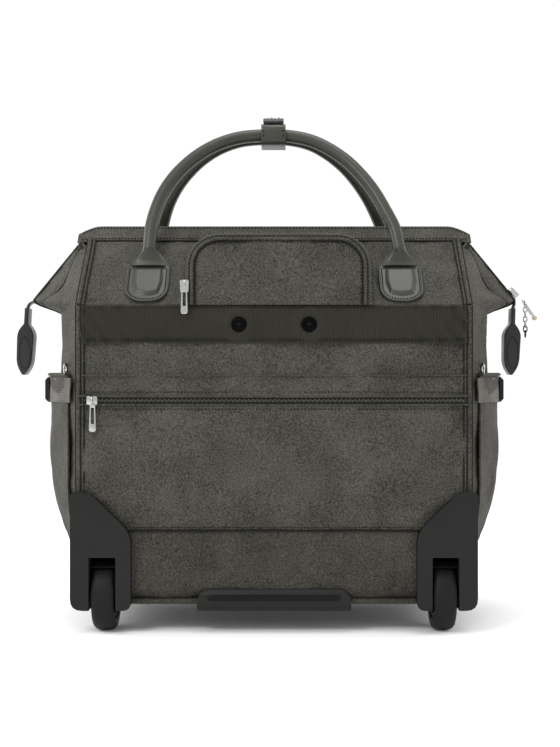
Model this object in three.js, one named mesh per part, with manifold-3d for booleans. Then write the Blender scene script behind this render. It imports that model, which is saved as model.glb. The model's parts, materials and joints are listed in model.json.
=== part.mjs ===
// A two-wheeled laptop case with a hinged doctor's-bag mouth and a telescopic trolley handle.
// Millimetres. +Z is up, -Y is the wheeled back of the case, and the origin is on the floor under its middle.
import * as THREE from "three";
import { mergeVertices } from "three/addons/utils/BufferGeometryUtils.js";
import Module from "manifold-3d";

const wasm = await Module();
wasm.setup();

// ---------- driving dimensions ----------
const GAP = 0.4; // clearance left between touching pieces
const PANEL_HALF = 192; // half width of the back and front panels
const BODY_HALF = 98; // half depth of the body, to the outside of its panels
const PANEL_THICK = 4;
const FLOOR_Z = 28; // underside of the body
const SHOULDER_Z = 327; // where the upright panels end and the mouth halves begin
const PANEL_TOP = SHOULDER_Z - 3.5;
const SIDE_BULGE = 31; // how far a side panel stands out at its middle
const SIDE_THICK = 3;

const MOUTH_LEAN = THREE.MathUtils.degToRad(43);
const MOUTH_HALF = 182; // half width of a mouth half
const YOKE_HEIGHT = 80; // slope length of the panel that carries the handle
const BAND_HEIGHT = 39;
const MOUTH_TOP_Z = 410;
const WING_TIP = { x: 260, z: 338 };

const HANDLE_X = 129; // centre of a handle tab
const HANDLE_RADIUS = 7;
const HANDLE_LEAN = THREE.MathUtils.degToRad(22);
const HANDLE_RISE = 137; // from a handle's feet up to the middle of its grip
const HANDLE_FOOT_Y = -6.5; // a handle's foot lies this far off its yoke's face
const TAB_TOP = 78;

const TROLLEY_X = 50; // centre of each tube pair
const TROLLEY_Y = -86.4;
const OUTER_TUBE = { width: 22, depth: 14, wall: 1.5, bottom: 40, top: 330 };
const STAGE_1 = { width: 18.2, depth: 10.2, wall: 1.4, bottom: 48, top: 336 };
const STAGE_2 = { width: 14.6, depth: 6.6, wall: 1.2, bottom: 52, top: 345 };
const GRIP = { width: 126, depth: 20, bottom: 347.5, top: 375 };
const SCREW = { x: 35, z: 308, shank: 2, head: 6.2 };

const POCKET_CENTRE_X = 4.5; // the trolley pocket sits a little to the right
const FLAP_HALF = 86;
const FLAP_TOP = 393;
const FLAP_CORNER = 26;

const WHEEL = { x: 170, y: -80, radius: 35, width: 23, hub: 24, bore: 3.4 };
const AXLE_RADIUS = 3;
const HOUSING = { inner: 142, outer: 202, face: -111, top: 142, bottom: 24, wellBack: -40, wellTop: 80 };
const WELL = { inner: 157, outer: 183.5, top: 76.5, back: -42.5 };

// ---------- materials ----------
const finish = (colour, roughness, metalness = 0) =>
  new THREE.MeshStandardMaterial({ color: colour, roughness, metalness });
const FABRIC = finish(0x4c4a45, 0.85);
const LEATHER = finish(0x4a4b44, 0.45);
const WEBBING = finish(0x35332c, 0.55);
const ZIP_TAPE = finish(0x33352f, 0.7);
const LINING = finish(0x6b675e, 0.8);
const BLACK_PLASTIC = finish(0x2b2c2a, 0.5);
const RUBBER = finish(0x2f302e, 0.65);
const POLISHED_METAL = finish(0xd8d9d6, 0.15, 1);
const STEEL = finish(0x8d8f90, 0.35, 1);
const ALUMINIUM = finish(0xa9abac, 0.35, 1);
const BLACK_METAL = finish(0x1d1d1d, 0.35, 0.8);

const root = new THREE.Group();

function place(name, geometry, material, parent = root) {
  const mesh = new THREE.Mesh(geometry, material);
  mesh.name = name;
  parent.add(mesh);
  return mesh;
}

// Builds the right-hand piece and its mirror image.
function placePair(name, geometry, material, parent = root) {
  place(name + "_right", geometry, material, parent);
  place(name + "_left", geometry, material, parent).scale.x = -1;
}

// ---------- solids ----------
function toSolid(geometry) {
  const bare = geometry.index ? geometry.toNonIndexed() : geometry.clone();
  bare.deleteAttribute("normal");
  bare.deleteAttribute("uv");
  const merged = mergeVertices(bare, 1e-4);
  return new wasm.Manifold(
    new wasm.Mesh({
      numProp: 3,
      vertProperties: merged.attributes.position.array,
      triVerts: new Uint32Array(merged.index.array),
    }),
  );
}

function toGeometry(solid) {
  const mesh = solid.getMesh();
  const geometry = new THREE.BufferGeometry();
  geometry.setAttribute("position", new THREE.BufferAttribute(mesh.vertProperties, 3));
  geometry.setIndex(new THREE.BufferAttribute(mesh.triVerts, 1));
  return geometry;
}

const cut = (body, ...tools) => toGeometry(tools.reduce((s, t) => s.subtract(toSolid(t)), toSolid(body)));
const join = (body, ...others) => toGeometry(others.reduce((s, t) => s.add(toSolid(t)), toSolid(body)));
const overlap = (a, b) => toGeometry(toSolid(a).intersect(toSolid(b)));

// A box between two corners.
function slab([x0, x1], [y0, y1], [z0, z1]) {
  return new THREE.BoxGeometry(x1 - x0, y1 - y0, z1 - z0).translate((x0 + x1) / 2, (y0 + y1) / 2, (z0 + z1) / 2);
}

// An outline through the given corners, each [a, b] or [a, b, rounding].
function outline(corners) {
  const shape = new THREE.Shape();
  corners.forEach(([a, b, rounding = 0], i) => {
    const corner = new THREE.Vector2(a, b);
    if (!rounding) {
      if (i) shape.lineTo(a, b);
      else shape.moveTo(a, b);
      return;
    }
    const towards = (k) => {
      const [c, d] = corners[(i + k + corners.length) % corners.length];
      return new THREE.Vector2(c, d).sub(corner).setLength(rounding).add(corner);
    };
    const [before, after] = [towards(-1), towards(1)];
    if (i) shape.lineTo(before.x, before.y);
    else shape.moveTo(before.x, before.y);
    shape.quadraticCurveTo(a, b, after.x, after.y);
  });
  shape.closePath();
  return shape;
}

const extrude = (shape, depth, curveSegments = 4) =>
  new THREE.ExtrudeGeometry(shape, { depth, bevelEnabled: false, curveSegments });
const ALONG_X = new THREE.Matrix4().makeBasis(
  new THREE.Vector3(0, 1, 0),
  new THREE.Vector3(0, 0, 1),
  new THREE.Vector3(1, 0, 0),
);

const prismX = (shape, x0, x1) => extrude(shape, x1 - x0).applyMatrix4(ALONG_X).translate(x0, 0, 0); // shape in Y, Z
const prismY = (shape, y0, y1) => extrude(shape, y1 - y0).rotateX(Math.PI / 2).translate(0, y1, 0); // shape in X, Z
const prismZ = (shape, z0, z1) => extrude(shape, z1 - z0).translate(0, 0, z0); // shape in X, Y
const rodX = (radius, x0, x1, y, z, sides = 12) =>
  new THREE.CylinderGeometry(radius, radius, x1 - x0, sides).rotateZ(Math.PI / 2).translate((x0 + x1) / 2, y, z);
const rodY = (radius, y0, y1, x, z, sides = 12) =>
  new THREE.CylinderGeometry(radius, radius, y1 - y0, sides).translate(x, (y0 + y1) / 2, z);

// A profile of [radius, x] points turned round the X axis.
const turnedX = (profile, sides) =>
  new THREE.LatheGeometry(profile.map(([r, x]) => new THREE.Vector2(r, x)), sides).rotateZ(-Math.PI / 2);

// A thin sheet: surface(u, v) gives its outer face for u and v from 0 to 1, and inward the way to its inner face.
function sheet(surface, inward, columns, rows) {
  const points = [];
  const at = (layer, i, j) => (layer * (rows + 1) + j) * (columns + 1) + i;
  for (const layer of [0, 1]) {
    for (let j = 0; j <= rows; j++) {
      for (let i = 0; i <= columns; i++) {
        const p = surface(i / columns, j / rows);
        points.push(...(layer ? p.add(inward) : p).toArray());
      }
    }
  }
  const faces = [];
  const quad = (a, b, c, d) => faces.push(a, b, c, a, c, d);
  for (let j = 0; j < rows; j++) {
    for (let i = 0; i < columns; i++) {
      quad(at(0, i, j), at(0, i + 1, j), at(0, i + 1, j + 1), at(0, i, j + 1));
      quad(at(1, i, j), at(1, i, j + 1), at(1, i + 1, j + 1), at(1, i + 1, j));
    }
    quad(at(0, 0, j), at(0, 0, j + 1), at(1, 0, j + 1), at(1, 0, j));
    quad(at(0, columns, j), at(1, columns, j), at(1, columns, j + 1), at(0, columns, j + 1));
  }
  for (let i = 0; i < columns; i++) {
    quad(at(0, i, 0), at(1, i, 0), at(1, i + 1, 0), at(0, i + 1, 0));
    quad(at(0, i, rows), at(0, i + 1, rows), at(1, i + 1, rows), at(1, i, rows));
  }
  const geometry = new THREE.BufferGeometry();
  geometry.setAttribute("position", new THREE.Float32BufferAttribute(points, 3));
  geometry.setIndex(faces);
  return geometry;
}

// A round bar swept through a list of points.
function sweptBar(points, radius, sides, steps) {
  const section = Array.from({ length: sides }, (_, i) => {
    const turn = (2 * Math.PI * i) / sides;
    return new THREE.Vector2(radius * Math.cos(turn), radius * Math.sin(turn));
  });
  const extrudePath = new THREE.CatmullRomCurve3(points);
  return new THREE.ExtrudeGeometry(new THREE.Shape(section), { steps, extrudePath, curveSegments: 1 });
}

// ---------- body panels ----------
const SIDE_START = PANEL_HALF + 4; // outer face of a side panel at its front and back edges
const SIDE_DEPTH = BODY_HALF - 1;

// How far out a side panel's face is at a depth and a height.
function sideX(y, z) {
  const rise = THREE.MathUtils.smoothstep(z, FLOOR_Z, 150);
  return SIDE_START + (3 + (SIDE_BULGE - 3) * rise) * (1 - (y / SIDE_DEPTH) ** 2);
}

function buildPanels() {
  const notchX = HOUSING.inner + 3; // the wheel wells take the lower back corners
  const backOutline = outline([
    [-notchX, FLOOR_Z + 6],
    [notchX, FLOOR_Z + 6],
    [notchX, HOUSING.wellTop + 1],
    [PANEL_HALF, HOUSING.wellTop + 1],
    [PANEL_HALF, PANEL_TOP],
    [-PANEL_HALF, PANEL_TOP],
    [-PANEL_HALF, HOUSING.wellTop + 1],
    [-notchX, HOUSING.wellTop + 1],
  ]);
  const back = prismY(backOutline, -BODY_HALF, -BODY_HALF + PANEL_THICK);
  const holes = [-SCREW.x, SCREW.x].map((x) => rodY(SCREW.shank + GAP, -BODY_HALF - 5, -BODY_HALF + 6, x, SCREW.z));
  place("back_panel", cut(back, ...holes), FABRIC);

  const front = slab([-PANEL_HALF, PANEL_HALF], [BODY_HALF - PANEL_THICK, BODY_HALF], [FLOOR_Z + 6, PANEL_TOP]);
  place("front_panel", front, FABRIC);

  const side = sheet(
    (u, v) => {
      const y = THREE.MathUtils.lerp(-SIDE_DEPTH, SIDE_DEPTH, u);
      const z = THREE.MathUtils.lerp(HOUSING.wellTop - 46, SHOULDER_Z - 1, v);
      return new THREE.Vector3(sideX(y, z), y, z);
    },
    new THREE.Vector3(-SIDE_THICK, 0, 0),
    10,
    7,
  );
  placePair("side_panel", side, FABRIC);

  const baseBack = HOUSING.wellBack + 1.5;
  const base = outline([
    [-notchX, -BODY_HALF + 1, 4],
    [notchX, -BODY_HALF + 1, 4],
    [notchX, baseBack],
    [PANEL_HALF, baseBack],
    [PANEL_HALF, BODY_HALF - 1, 14],
    [-PANEL_HALF, BODY_HALF - 1, 14],
    [-PANEL_HALF, baseBack],
    [-notchX, baseBack],
  ]);
  place("base_board", prismZ(base, FLOOR_Z, FLOOR_Z + 5.5), FABRIC);
}

function buildBackTrim() {
  const face = -BODY_HALF - GAP;
  const pocket = outline([
    [-PANEL_HALF + 1, 145],
    [-145, 102],
    [145, 102],
    [PANEL_HALF - 1, 145],
    [PANEL_HALF - 1, 226.5],
    [-PANEL_HALF + 1, 226.5],
  ]);
  place("back_pocket", prismY(pocket, face - 4, face), FABRIC);

  const zipMiddle = 232;
  const zip = outline([
    [face, zipMiddle - 5],
    [face, zipMiddle + 5],
    [face - 1.2, zipMiddle + 5],
    [face - 1.4, zipMiddle + 2],
    [face - 2.4, zipMiddle + 1.6],
    [face - 2.4, zipMiddle - 1.6],
    [face - 1.4, zipMiddle - 2],
    [face - 1.2, zipMiddle - 5],
  ]);
  place("back_zip", prismX(zip, -PANEL_HALF + 2, PANEL_HALF - 2), ZIP_TAPE);

  const strap = slab([-PANEL_HALF, PANEL_HALF], [face - 2.6, face], [289, SHOULDER_Z]);
  const holes = [-SCREW.x, SCREW.x].map((x) => rodY(SCREW.shank + GAP, face - 6, face + 2, x, SCREW.z));
  place("webbing_band", cut(strap, ...holes), WEBBING);
}

// ---------- wheels and feet ----------
function buildWheels() {
  const plate = outline([
    [HOUSING.inner, HOUSING.bottom, 8],
    [HOUSING.outer, HOUSING.bottom, 12],
    [HOUSING.outer, HOUSING.top, 6],
    [HOUSING.outer - 18, HOUSING.top, 10],
    [HOUSING.inner, 101, 12],
  ]);
  const faceBack = -BODY_HALF - GAP;
  const face = prismY(plate, HOUSING.face, faceBack);
  const wellSides = [HOUSING.inner + 4, PANEL_HALF + 1];
  const well = slab(wellSides, [faceBack - 1, HOUSING.wellBack], [HOUSING.bottom, HOUSING.wellTop]);
  const cavity = slab([WELL.inner, WELL.outer], [HOUSING.face - 2, WELL.back], [-2, WELL.top]);
  const axleHole = rodX(AXLE_RADIUS + 0.35, WELL.inner - 6, WELL.outer + 5, WHEEL.y, WHEEL.radius, 12);
  const pocketSeat = slab([130, HOUSING.outer + 1], [faceBack - 4.6, faceBack + 0.1], [101, HOUSING.top + 1]);
  placePair("wheel_housing", cut(join(face, well), cavity, axleHole, pocketSeat), BLACK_PLASTIC);

  const axle = rodX(AXLE_RADIUS, WELL.inner - 5.5, WELL.outer + 4.5, WHEEL.y, WHEEL.radius, 12);
  placePair("axle", axle, STEEL);

  const half = WHEEL.width / 2;
  const tyre = turnedX(
    [
      [WHEEL.hub + GAP, -half + 1],
      [WHEEL.radius - 4, -half],
      [WHEEL.radius - 1, -half + 2.5],
      [WHEEL.radius, -half + 6],
      [WHEEL.radius, half - 6],
      [WHEEL.radius - 1, half - 2.5],
      [WHEEL.radius - 4, half],
      [WHEEL.hub + GAP, half - 1],
      [WHEEL.hub + GAP, -half + 1],
    ],
    28,
  ).translate(WHEEL.x, WHEEL.y, WHEEL.radius);
  placePair("tyre", tyre, RUBBER);

  const hub = turnedX(
    [
      [WHEEL.bore, -half + 1.5],
      [9, -half + 1.5],
      [9, -4],
      [19, -4],
      [19, -half + 2],
      [WHEEL.hub, -half + 2],
      [WHEEL.hub, half - 2],
      [19, half - 2],
      [19, 4],
      [9, 4],
      [9, half - 1.5],
      [WHEEL.bore, half - 1.5],
      [WHEEL.bore, -half + 1.5],
    ],
    20,
  ).translate(WHEEL.x, WHEEL.y, WHEEL.radius);
  placePair("wheel_hub", hub, BLACK_PLASTIC);
}

function buildFeet() {
  const foot = new THREE.CylinderGeometry(13, 11, FLOOR_Z - GAP, 16).rotateX(Math.PI / 2);
  placePair("front_foot", foot.translate(150, 72, (FLOOR_Z - GAP) / 2), RUBBER);

  const face = -BODY_HALF - GAP;
  const section = outline([
    [face, 44],
    [face - 3, 44, 1.5],
    [face - 6, 39, 2],
    [face - 6, 26, 3],
    [face - 2, 21.5, 3],
    [-72, 21.5],
    [-72, FLOOR_Z - GAP],
    [face, FLOOR_Z - GAP],
  ]);
  const front = outline([
    [-77, 15, 8],
    [77, 15, 8],
    [77, 44, 15],
    [-77, 44, 15],
  ]);
  place("skid_plate", overlap(prismX(section, -80, 80), prismY(front, face - 10, 0)), BLACK_PLASTIC);
}

// ---------- trolley ----------
function tubePair({ width, depth, wall, bottom, top }) {
  const ring = (x) => {
    const shape = outline([
      [x - width / 2, TROLLEY_Y - depth / 2, 2],
      [x + width / 2, TROLLEY_Y - depth / 2, 2],
      [x + width / 2, TROLLEY_Y + depth / 2, 2],
      [x - width / 2, TROLLEY_Y + depth / 2, 2],
    ]);
    const bore = outline([
      [x - width / 2 + wall, TROLLEY_Y - depth / 2 + wall, 1],
      [x + width / 2 - wall, TROLLEY_Y - depth / 2 + wall, 1],
      [x + width / 2 - wall, TROLLEY_Y + depth / 2 - wall, 1],
      [x - width / 2 + wall, TROLLEY_Y + depth / 2 - wall, 1],
    ]);
    shape.holes.push(bore);
    return extrude(shape, top - bottom, 2).translate(0, 0, bottom);
  };
  return [ring(-TROLLEY_X), ring(TROLLEY_X)];
}

function buildTrolley() {
  const [left, right] = tubePair(OUTER_TUBE);
  const reach = TROLLEY_X + OUTER_TUBE.width / 2;
  const foot = slab([-reach, reach], [TROLLEY_Y - 7, TROLLEY_Y + 9], [FLOOR_Z + 8, OUTER_TUBE.bottom + 1]);
  place("trolley_outer_tubes", join(left, right, foot), ALUMINIUM);

  const bezelBlock = slab([-reach - 5, reach + 5], [TROLLEY_Y - 7.2, TROLLEY_Y + 9], [300, OUTER_TUBE.top + 3]);
  const sockets = [-TROLLEY_X, TROLLEY_X].map((x) => {
    const halfWidth = OUTER_TUBE.width / 2 + GAP;
    const halfDepth = OUTER_TUBE.depth / 2 + GAP;
    return slab([x - halfWidth, x + halfWidth], [TROLLEY_Y - halfDepth, TROLLEY_Y + halfDepth], [299, 340]);
  });
  const threads = [-SCREW.x, SCREW.x].map((x) => rodY(SCREW.shank + GAP, -BODY_HALF, TROLLEY_Y + 5, x, SCREW.z));
  place("trolley_bezel", cut(bezelBlock, ...sockets, ...threads), BLACK_PLASTIC);

  for (const [name, x] of [["left", -SCREW.x], ["right", SCREW.x]]) {
    const headFront = -BODY_HALF - 6.2;
    const head = rodY(SCREW.head, headFront, headFront + 2.2, x, SCREW.z, 16);
    const shank = rodY(SCREW.shank, headFront + 1, TROLLEY_Y + 3, x, SCREW.z, 10);
    place("trolley_screw_" + name, join(head, shank), BLACK_METAL);
  }

  const [left1, right1] = tubePair(STAGE_1);
  const collar = slab(
    [-TROLLEY_X - 11, TROLLEY_X + 11],
    [TROLLEY_Y - 7, TROLLEY_Y + 7],
    [STAGE_1.top - 1.5, STAGE_1.top + 4],
  );
  const collarHoles = [-TROLLEY_X, TROLLEY_X].map((x) => {
    const halfWidth = STAGE_1.width / 2 - STAGE_1.wall;
    const halfDepth = STAGE_1.depth / 2 - STAGE_1.wall;
    return slab([x - halfWidth, x + halfWidth], [TROLLEY_Y - halfDepth, TROLLEY_Y + halfDepth], [330, 345]);
  });
  place("trolley_stage_1", cut(join(left1, right1, collar), ...collarHoles), ALUMINIUM);

  const [left2, right2] = tubePair(STAGE_2);
  const bridge = slab([-TROLLEY_X - 7, TROLLEY_X + 7], [TROLLEY_Y - 3.3, TROLLEY_Y + 3.3], [343, 347]);
  place("trolley_stage_2", join(left2, right2, bridge), ALUMINIUM);

  const bar = outline([
    [-GRIP.width / 2, GRIP.bottom, 4],
    [GRIP.width / 2, GRIP.bottom, 4],
    [GRIP.width / 2, GRIP.top, 10],
    [-GRIP.width / 2, GRIP.top, 10],
  ]);
  const gripBody = prismY(bar, TROLLEY_Y - GRIP.depth / 2, TROLLEY_Y + GRIP.depth / 2);
  const buttonWell = slab([-13.5, 13.5], [TROLLEY_Y - 5.5, TROLLEY_Y + 5.5], [GRIP.top - 9, GRIP.top + 1]);
  place("trolley_grip", cut(gripBody, buttonWell), BLACK_PLASTIC);
  const button = slab([-13, 13], [TROLLEY_Y - 5, TROLLEY_Y + 5], [GRIP.top - 5, GRIP.top + 2]);
  place("trolley_button", button, BLACK_PLASTIC);
}

// An arch-shaped outline with round upper corners, standing on the shoulder line.
const arch = (half, top, corner, bottom) =>
  outline([
    [POCKET_CENTRE_X - half, bottom],
    [POCKET_CENTRE_X + half, bottom],
    [POCKET_CENTRE_X + half, top, corner],
    [POCKET_CENTRE_X - half, top, corner],
  ]);

function buildTrolleyPocket() {
  const flapFront = -BODY_HALF - 6;
  const flap = prismY(arch(FLAP_HALF, FLAP_TOP, FLAP_CORNER, SHOULDER_Z + 1.5), flapFront, flapFront + 3.6);
  place("trolley_flap", flap, FABRIC);

  const wall = 2.5;
  const outside = prismY(arch(FLAP_HALF + wall, FLAP_TOP + wall, FLAP_CORNER, SHOULDER_Z + 1.5), flapFront + 4, -62);
  const inside = prismY(arch(FLAP_HALF, FLAP_TOP, FLAP_CORNER - wall, SHOULDER_Z), flapFront + 3, -61);
  place("trolley_pocket_gusset", cut(outside, inside), FABRIC);
}

// ---------- mouth ----------
// Half of the mouth, built upright with its outer face at y = 0 and its hinge line at the origin, then leaned inwards.
function buildMouthHalf(side, parent) {
  const half = new THREE.Group();
  half.position.set(0, -BODY_HALF, SHOULDER_Z);
  half.rotation.x = -MOUTH_LEAN;
  parent.add(half);

  let yoke = slab([-MOUTH_HALF, MOUTH_HALF], [0.5, 4], [1, YOKE_HEIGHT]);
  if (side === "back") {
    const reach = FLAP_HALF + 7; // the trolley pocket passes through the back yoke
    yoke = cut(yoke, slab([POCKET_CENTRE_X - reach, POCKET_CENTRE_X + reach], [-1, 6], [-1, YOKE_HEIGHT - 5]));
  }
  place("yoke_" + side, yoke, FABRIC, half);

  const bandBottom = YOKE_HEIGHT + GAP;
  const bandTop = bandBottom + BAND_HEIGHT;
  const fold = outline([
    [-0.5, bandBottom],
    [1.7, bandBottom],
    [1.7, bandTop - 2.5],
    [4.5, bandTop - 2.5],
    [4.5, bandBottom],
    [6.7, bandBottom],
    [6.7, bandTop, 2],
    [-0.5, bandTop, 2],
  ]);
  place("mouth_band_" + side, prismX(fold, -MOUTH_HALF, MOUTH_HALF), FABRIC, half);
  const bar = slab([-MOUTH_HALF + 2, MOUTH_HALF - 2], [2.1, 4.1], [bandTop - 18, bandTop - 3]);
  place("mouth_bar_" + side, bar, STEEL, half);

  // The zip tape is level when the mouth is closed, so it is turned back against the lean.
  const tape = new THREE.Group();
  tape.position.set(0, 7.8, bandTop - 5);
  tape.rotation.x = MOUTH_LEAN;
  half.add(tape);
  place("mouth_zip_" + side, slab([-MOUTH_HALF, MOUTH_HALF], [0, 13.6], [-1.2, 1.2]), ZIP_TAPE, tape);

  const tab = prismY(
    outline([
      [-22, 4, 18],
      [22, 4, 18],
      [22, 58, 5],
      [9, TAB_TOP],
      [-9, TAB_TOP],
      [-22, 58, 5],
    ]),
    -4.2,
    0.1,
  );
  for (const [name, x] of [["right", HANDLE_X], ["left", -HANDLE_X]]) {
    place(`handle_tab_${side}_${name}`, tab, LEATHER, half).position.x = side === "back" ? x : -x;
  }

  const handle = new THREE.Group();
  handle.position.set(0, HANDLE_FOOT_Y - HANDLE_RADIUS, TAB_TOP - 8);
  handle.rotation.x = MOUTH_LEAN - HANDLE_LEAN;
  half.add(handle);
  const skew = side === "back" ? 1 : -1; // both handles slump the same way, though this half is turned round
  const line = HANDLE_LINE.map(([x, rise]) => new THREE.Vector3(skew * x, 0, rise * HANDLE_RISE));
  place("handle_" + side, sweptBar(line, HANDLE_RADIUS, 10, 34), LEATHER, handle);
  return handle;
}

// The centreline of a slack leather handle: across in millimetres, and up as a share of its rise.
const HANDLE_LINE = [
  [-129, 0],
  [-128, 0.17],
  [-124, 0.325],
  [-116, 0.495],
  [-103, 0.655],
  [-84, 0.805],
  [-62, 0.915],
  [-38, 0.98],
  [-13, 1],
  [13, 0.997],
  [37, 0.96],
  [57, 0.885],
  [76, 0.775],
  [92, 0.64],
  [105, 0.495],
  [116, 0.33],
  [125, 0.17],
  [129, 0],
];

function buildHandleWrap() {
  const middleZ = 514.4;
  const ring = (halfY, halfZ, corner) =>
    outline([
      [-halfY, middleZ - halfZ, corner],
      [halfY, middleZ - halfZ, corner],
      [halfY, middleZ + halfZ, corner],
      [-halfY, middleZ + halfZ, corner],
    ]);
  const band = ring(20, 11.5, 8);
  band.holes.push(ring(17, 8.5, 6));
  place("handle_wrap", prismX(band, -14, 12), LEATHER);

  // The snapped tongue lies over the top in a low arch.
  const under = middleZ + 12;
  const tongue = outline([
    [-17, under],
    [-14, under + 0.8],
    [-8, under + 4.5, 4],
    [5, under + 5.5, 4],
    [13, under + 2, 3],
    [17, under],
    [17, under + 2.4],
    [13, under + 4.6, 3],
    [5, under + 8.3, 4],
    [-8, under + 7.3, 4],
    [-14, under + 3.2],
    [-17, under + 2.4],
  ]);
  place("wrap_tongue", prismX(tongue, -12, 10), LEATHER);
}

// The pinched end gusset: it leaves the side panel's top edge and folds out to the zip's end.
function buildWings() {
  const tipRow = 0.15;
  const foldLine = (v) => {
    if (v < tipRow) {
      const t = v / tipRow;
      return { x: THREE.MathUtils.lerp(sideX(0, SHOULDER_Z), WING_TIP.x, t), z: SHOULDER_Z + t * 11 };
    }
    const t = (v - tipRow) / (1 - tipRow);
    return { x: THREE.MathUtils.lerp(WING_TIP.x, 189, t), z: THREE.MathUtils.lerp(WING_TIP.z, MOUTH_TOP_Z, t) };
  };
  const rows = [0, tipRow, 0.36, 0.58, 0.8, 1];
  const wing = sheet(
    (u, v) => {
      const row = rows[Math.round(v * (rows.length - 1))];
      const across = 2 * u - 1;
      const fold = foldLine(row);
      const pinch = THREE.MathUtils.lerp(2, 1, Math.min(1, row / tipRow));
      const share = pinch === 2 ? 1 - across ** 2 : (1 - Math.abs(across)) ** 1.3;
      const edgeX = THREE.MathUtils.lerp(SIDE_START, 188, row);
      const edgeZ = THREE.MathUtils.lerp(SHOULDER_Z, MOUTH_TOP_Z - 3, row);
      const halfDepth = THREE.MathUtils.lerp(SIDE_DEPTH, 22, row);
      return new THREE.Vector3(
        THREE.MathUtils.lerp(edgeX, fold.x, share),
        across * halfDepth,
        THREE.MathUtils.lerp(edgeZ, fold.z, share),
      );
    },
    new THREE.Vector3(-SIDE_THICK, 0, 0),
    10,
    rows.length - 1,
  );
  placePair("wing", wing, FABRIC);
}

// ---------- pockets, straps and lining ----------
function buildSidePockets() {
  const POCKET_BULGE = 9;
  const bottom = 84;
  const top = 258;
  const halfDepth = 78;
  const pocket = sheet(
    (u, v) => {
      const y = THREE.MathUtils.lerp(-halfDepth, halfDepth, u);
      const z = THREE.MathUtils.lerp(bottom, top, v);
      const standOff = 3 + POCKET_BULGE * Math.sin(Math.PI * u) * Math.sin((Math.PI / 2) * v) ** 0.6;
      return new THREE.Vector3(sideX(y, z) + standOff, y, z);
    },
    new THREE.Vector3(-2.2, 0, 0),
    10,
    5,
  );
  placePair("side_pocket", pocket, FABRIC);

  const strap = sheet(
    (u, v) => {
      const y = THREE.MathUtils.lerp(-90, 90, u);
      const z = THREE.MathUtils.lerp(230, 254, v);
      const swell = Math.abs(y) < halfDepth ? (POCKET_BULGE + 0.3) * Math.cos((Math.PI / 2) * (y / halfDepth)) : 0;
      return new THREE.Vector3(sideX(y, z) + 5.2 + swell, y, z);
    },
    new THREE.Vector3(-1.6, 0, 0),
    14,
    1,
  );
  const buckleX = sideX(0, 242) + POCKET_BULGE + 4.5;
  const buckle = slab([buckleX, buckleX + 4.5], [-16, 16], [227, 257]);
  placePair("side_strap", join(strap, buckle), WEBBING);
}

function buildInside() {
  const notchX = HOUSING.inner + 2; // its lower corners clear the wheel wells
  const divider = outline([
    [-notchX, FLOOR_Z + 6.5],
    [notchX, FLOOR_Z + 6.5],
    [notchX, HOUSING.wellTop + 2],
    [184, HOUSING.wellTop + 2],
    [184, 296, 12],
    [-184, 296, 12],
    [-184, HOUSING.wellTop + 2],
    [-notchX, HOUSING.wellTop + 2],
  ]);
  place("laptop_divider", prismY(divider, -48, -41), LINING);

  const face = BODY_HALF + GAP;
  const pocket = slab([-150, 150], [face, face + 13.5], [66, 252]);
  const cavity = slab([-147.5, 147.5], [face + 2.5, face + 11], [69, 260]);
  place("front_pocket", cut(pocket, cavity), FABRIC);
}

// ---------- zip sliders and end tabs ----------
// A slider lies on its tape with its face at -Y, its travel along X and its nose at +X.
function slider(parent, name) {
  const body = outline([
    [-5.5, -4, 1.5],
    [5.5, -4.6, 2.5],
    [5.5, 4.6, 2.5],
    [-5.5, 4, 1.5],
  ]);
  return place(name, prismY(body, -4.4, 0), POLISHED_METAL, parent);
}

// A slotted puller that hangs from the origin.
function pullerGeometry(length) {
  const plate = outline([
    [-2.6, 0, 1.5],
    [2.6, 0, 1.5],
    [3.6, -length, 3],
    [-3.6, -length, 3],
  ]);
  const slot = slab([-1.6, 1.6], [-3, 3], [-length + 8, -4]);
  return cut(prismY(plate, -1.1, 1.1), slot);
}

function buildZipPulls() {
  const tapeFace = -BODY_HALF - 3.2;
  const backSlider = new THREE.Group();
  backSlider.position.set(-181, tapeFace, 232);
  root.add(backSlider);
  slider(backSlider, "back_slider");
  place("back_puller", pullerGeometry(28), POLISHED_METAL, backSlider).position.set(1, -6, -3);

  const body = prismY(outline([[-4, -5.5, 1.5], [4, -5.5, 1.5], [4.6, 7, 2.5], [-4.6, 7, 2.5]]), -5.6, 0);
  const flapPull = join(body, pullerGeometry(26).translate(0, -6.3, -1));
  place("flap_zip_pull", flapPull, POLISHED_METAL).position.set(POCKET_CENTRE_X - FLAP_HALF - 7.5, tapeFace, 345);

  const slope = Math.atan2(MOUTH_TOP_Z - WING_TIP.z, WING_TIP.x - 189);
  const mainSlider = new THREE.Group();
  mainSlider.position.set(WING_TIP.x - 4, 0, WING_TIP.z + 6);
  mainSlider.rotation.y = slope;
  root.add(mainSlider);
  const upright = prismZ(outline([[-6, -5, 2], [6, -4.4, 1.5], [6, 4.4, 1.5], [-6, 5, 2]]), 0.9, 5.9);
  place("main_slider", upright, POLISHED_METAL, mainSlider);
  const puller = place("main_puller", pullerGeometry(26).rotateZ(Math.PI / 2), POLISHED_METAL);
  puller.position.set(WING_TIP.x + 8, 0, WING_TIP.z + 0.4);
  puller.rotation.y = THREE.MathUtils.degToRad(-34);

  const leaf = prismY(
    outline([
      [-2.2, 0],
      [2.2, 0],
      [2.2, -17],
      [9, -26, 6],
      [8, -62, 8],
      [0, -74, 4],
      [-8, -62, 8],
      [-9, -26, 6],
      [-2.2, -17],
    ]),
    -10,
    10,
  );
  for (const [name, x, swing] of [["right", WING_TIP.x - 3, 2], ["left", -WING_TIP.x - 6, 3]]) {
    const tab = place("zip_end_tab_" + name, leaf, LEATHER);
    tab.position.set(x, 0, WING_TIP.z - 8.5);
    tab.rotation.y = THREE.MathUtils.degToRad(swing);
  }
}

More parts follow.
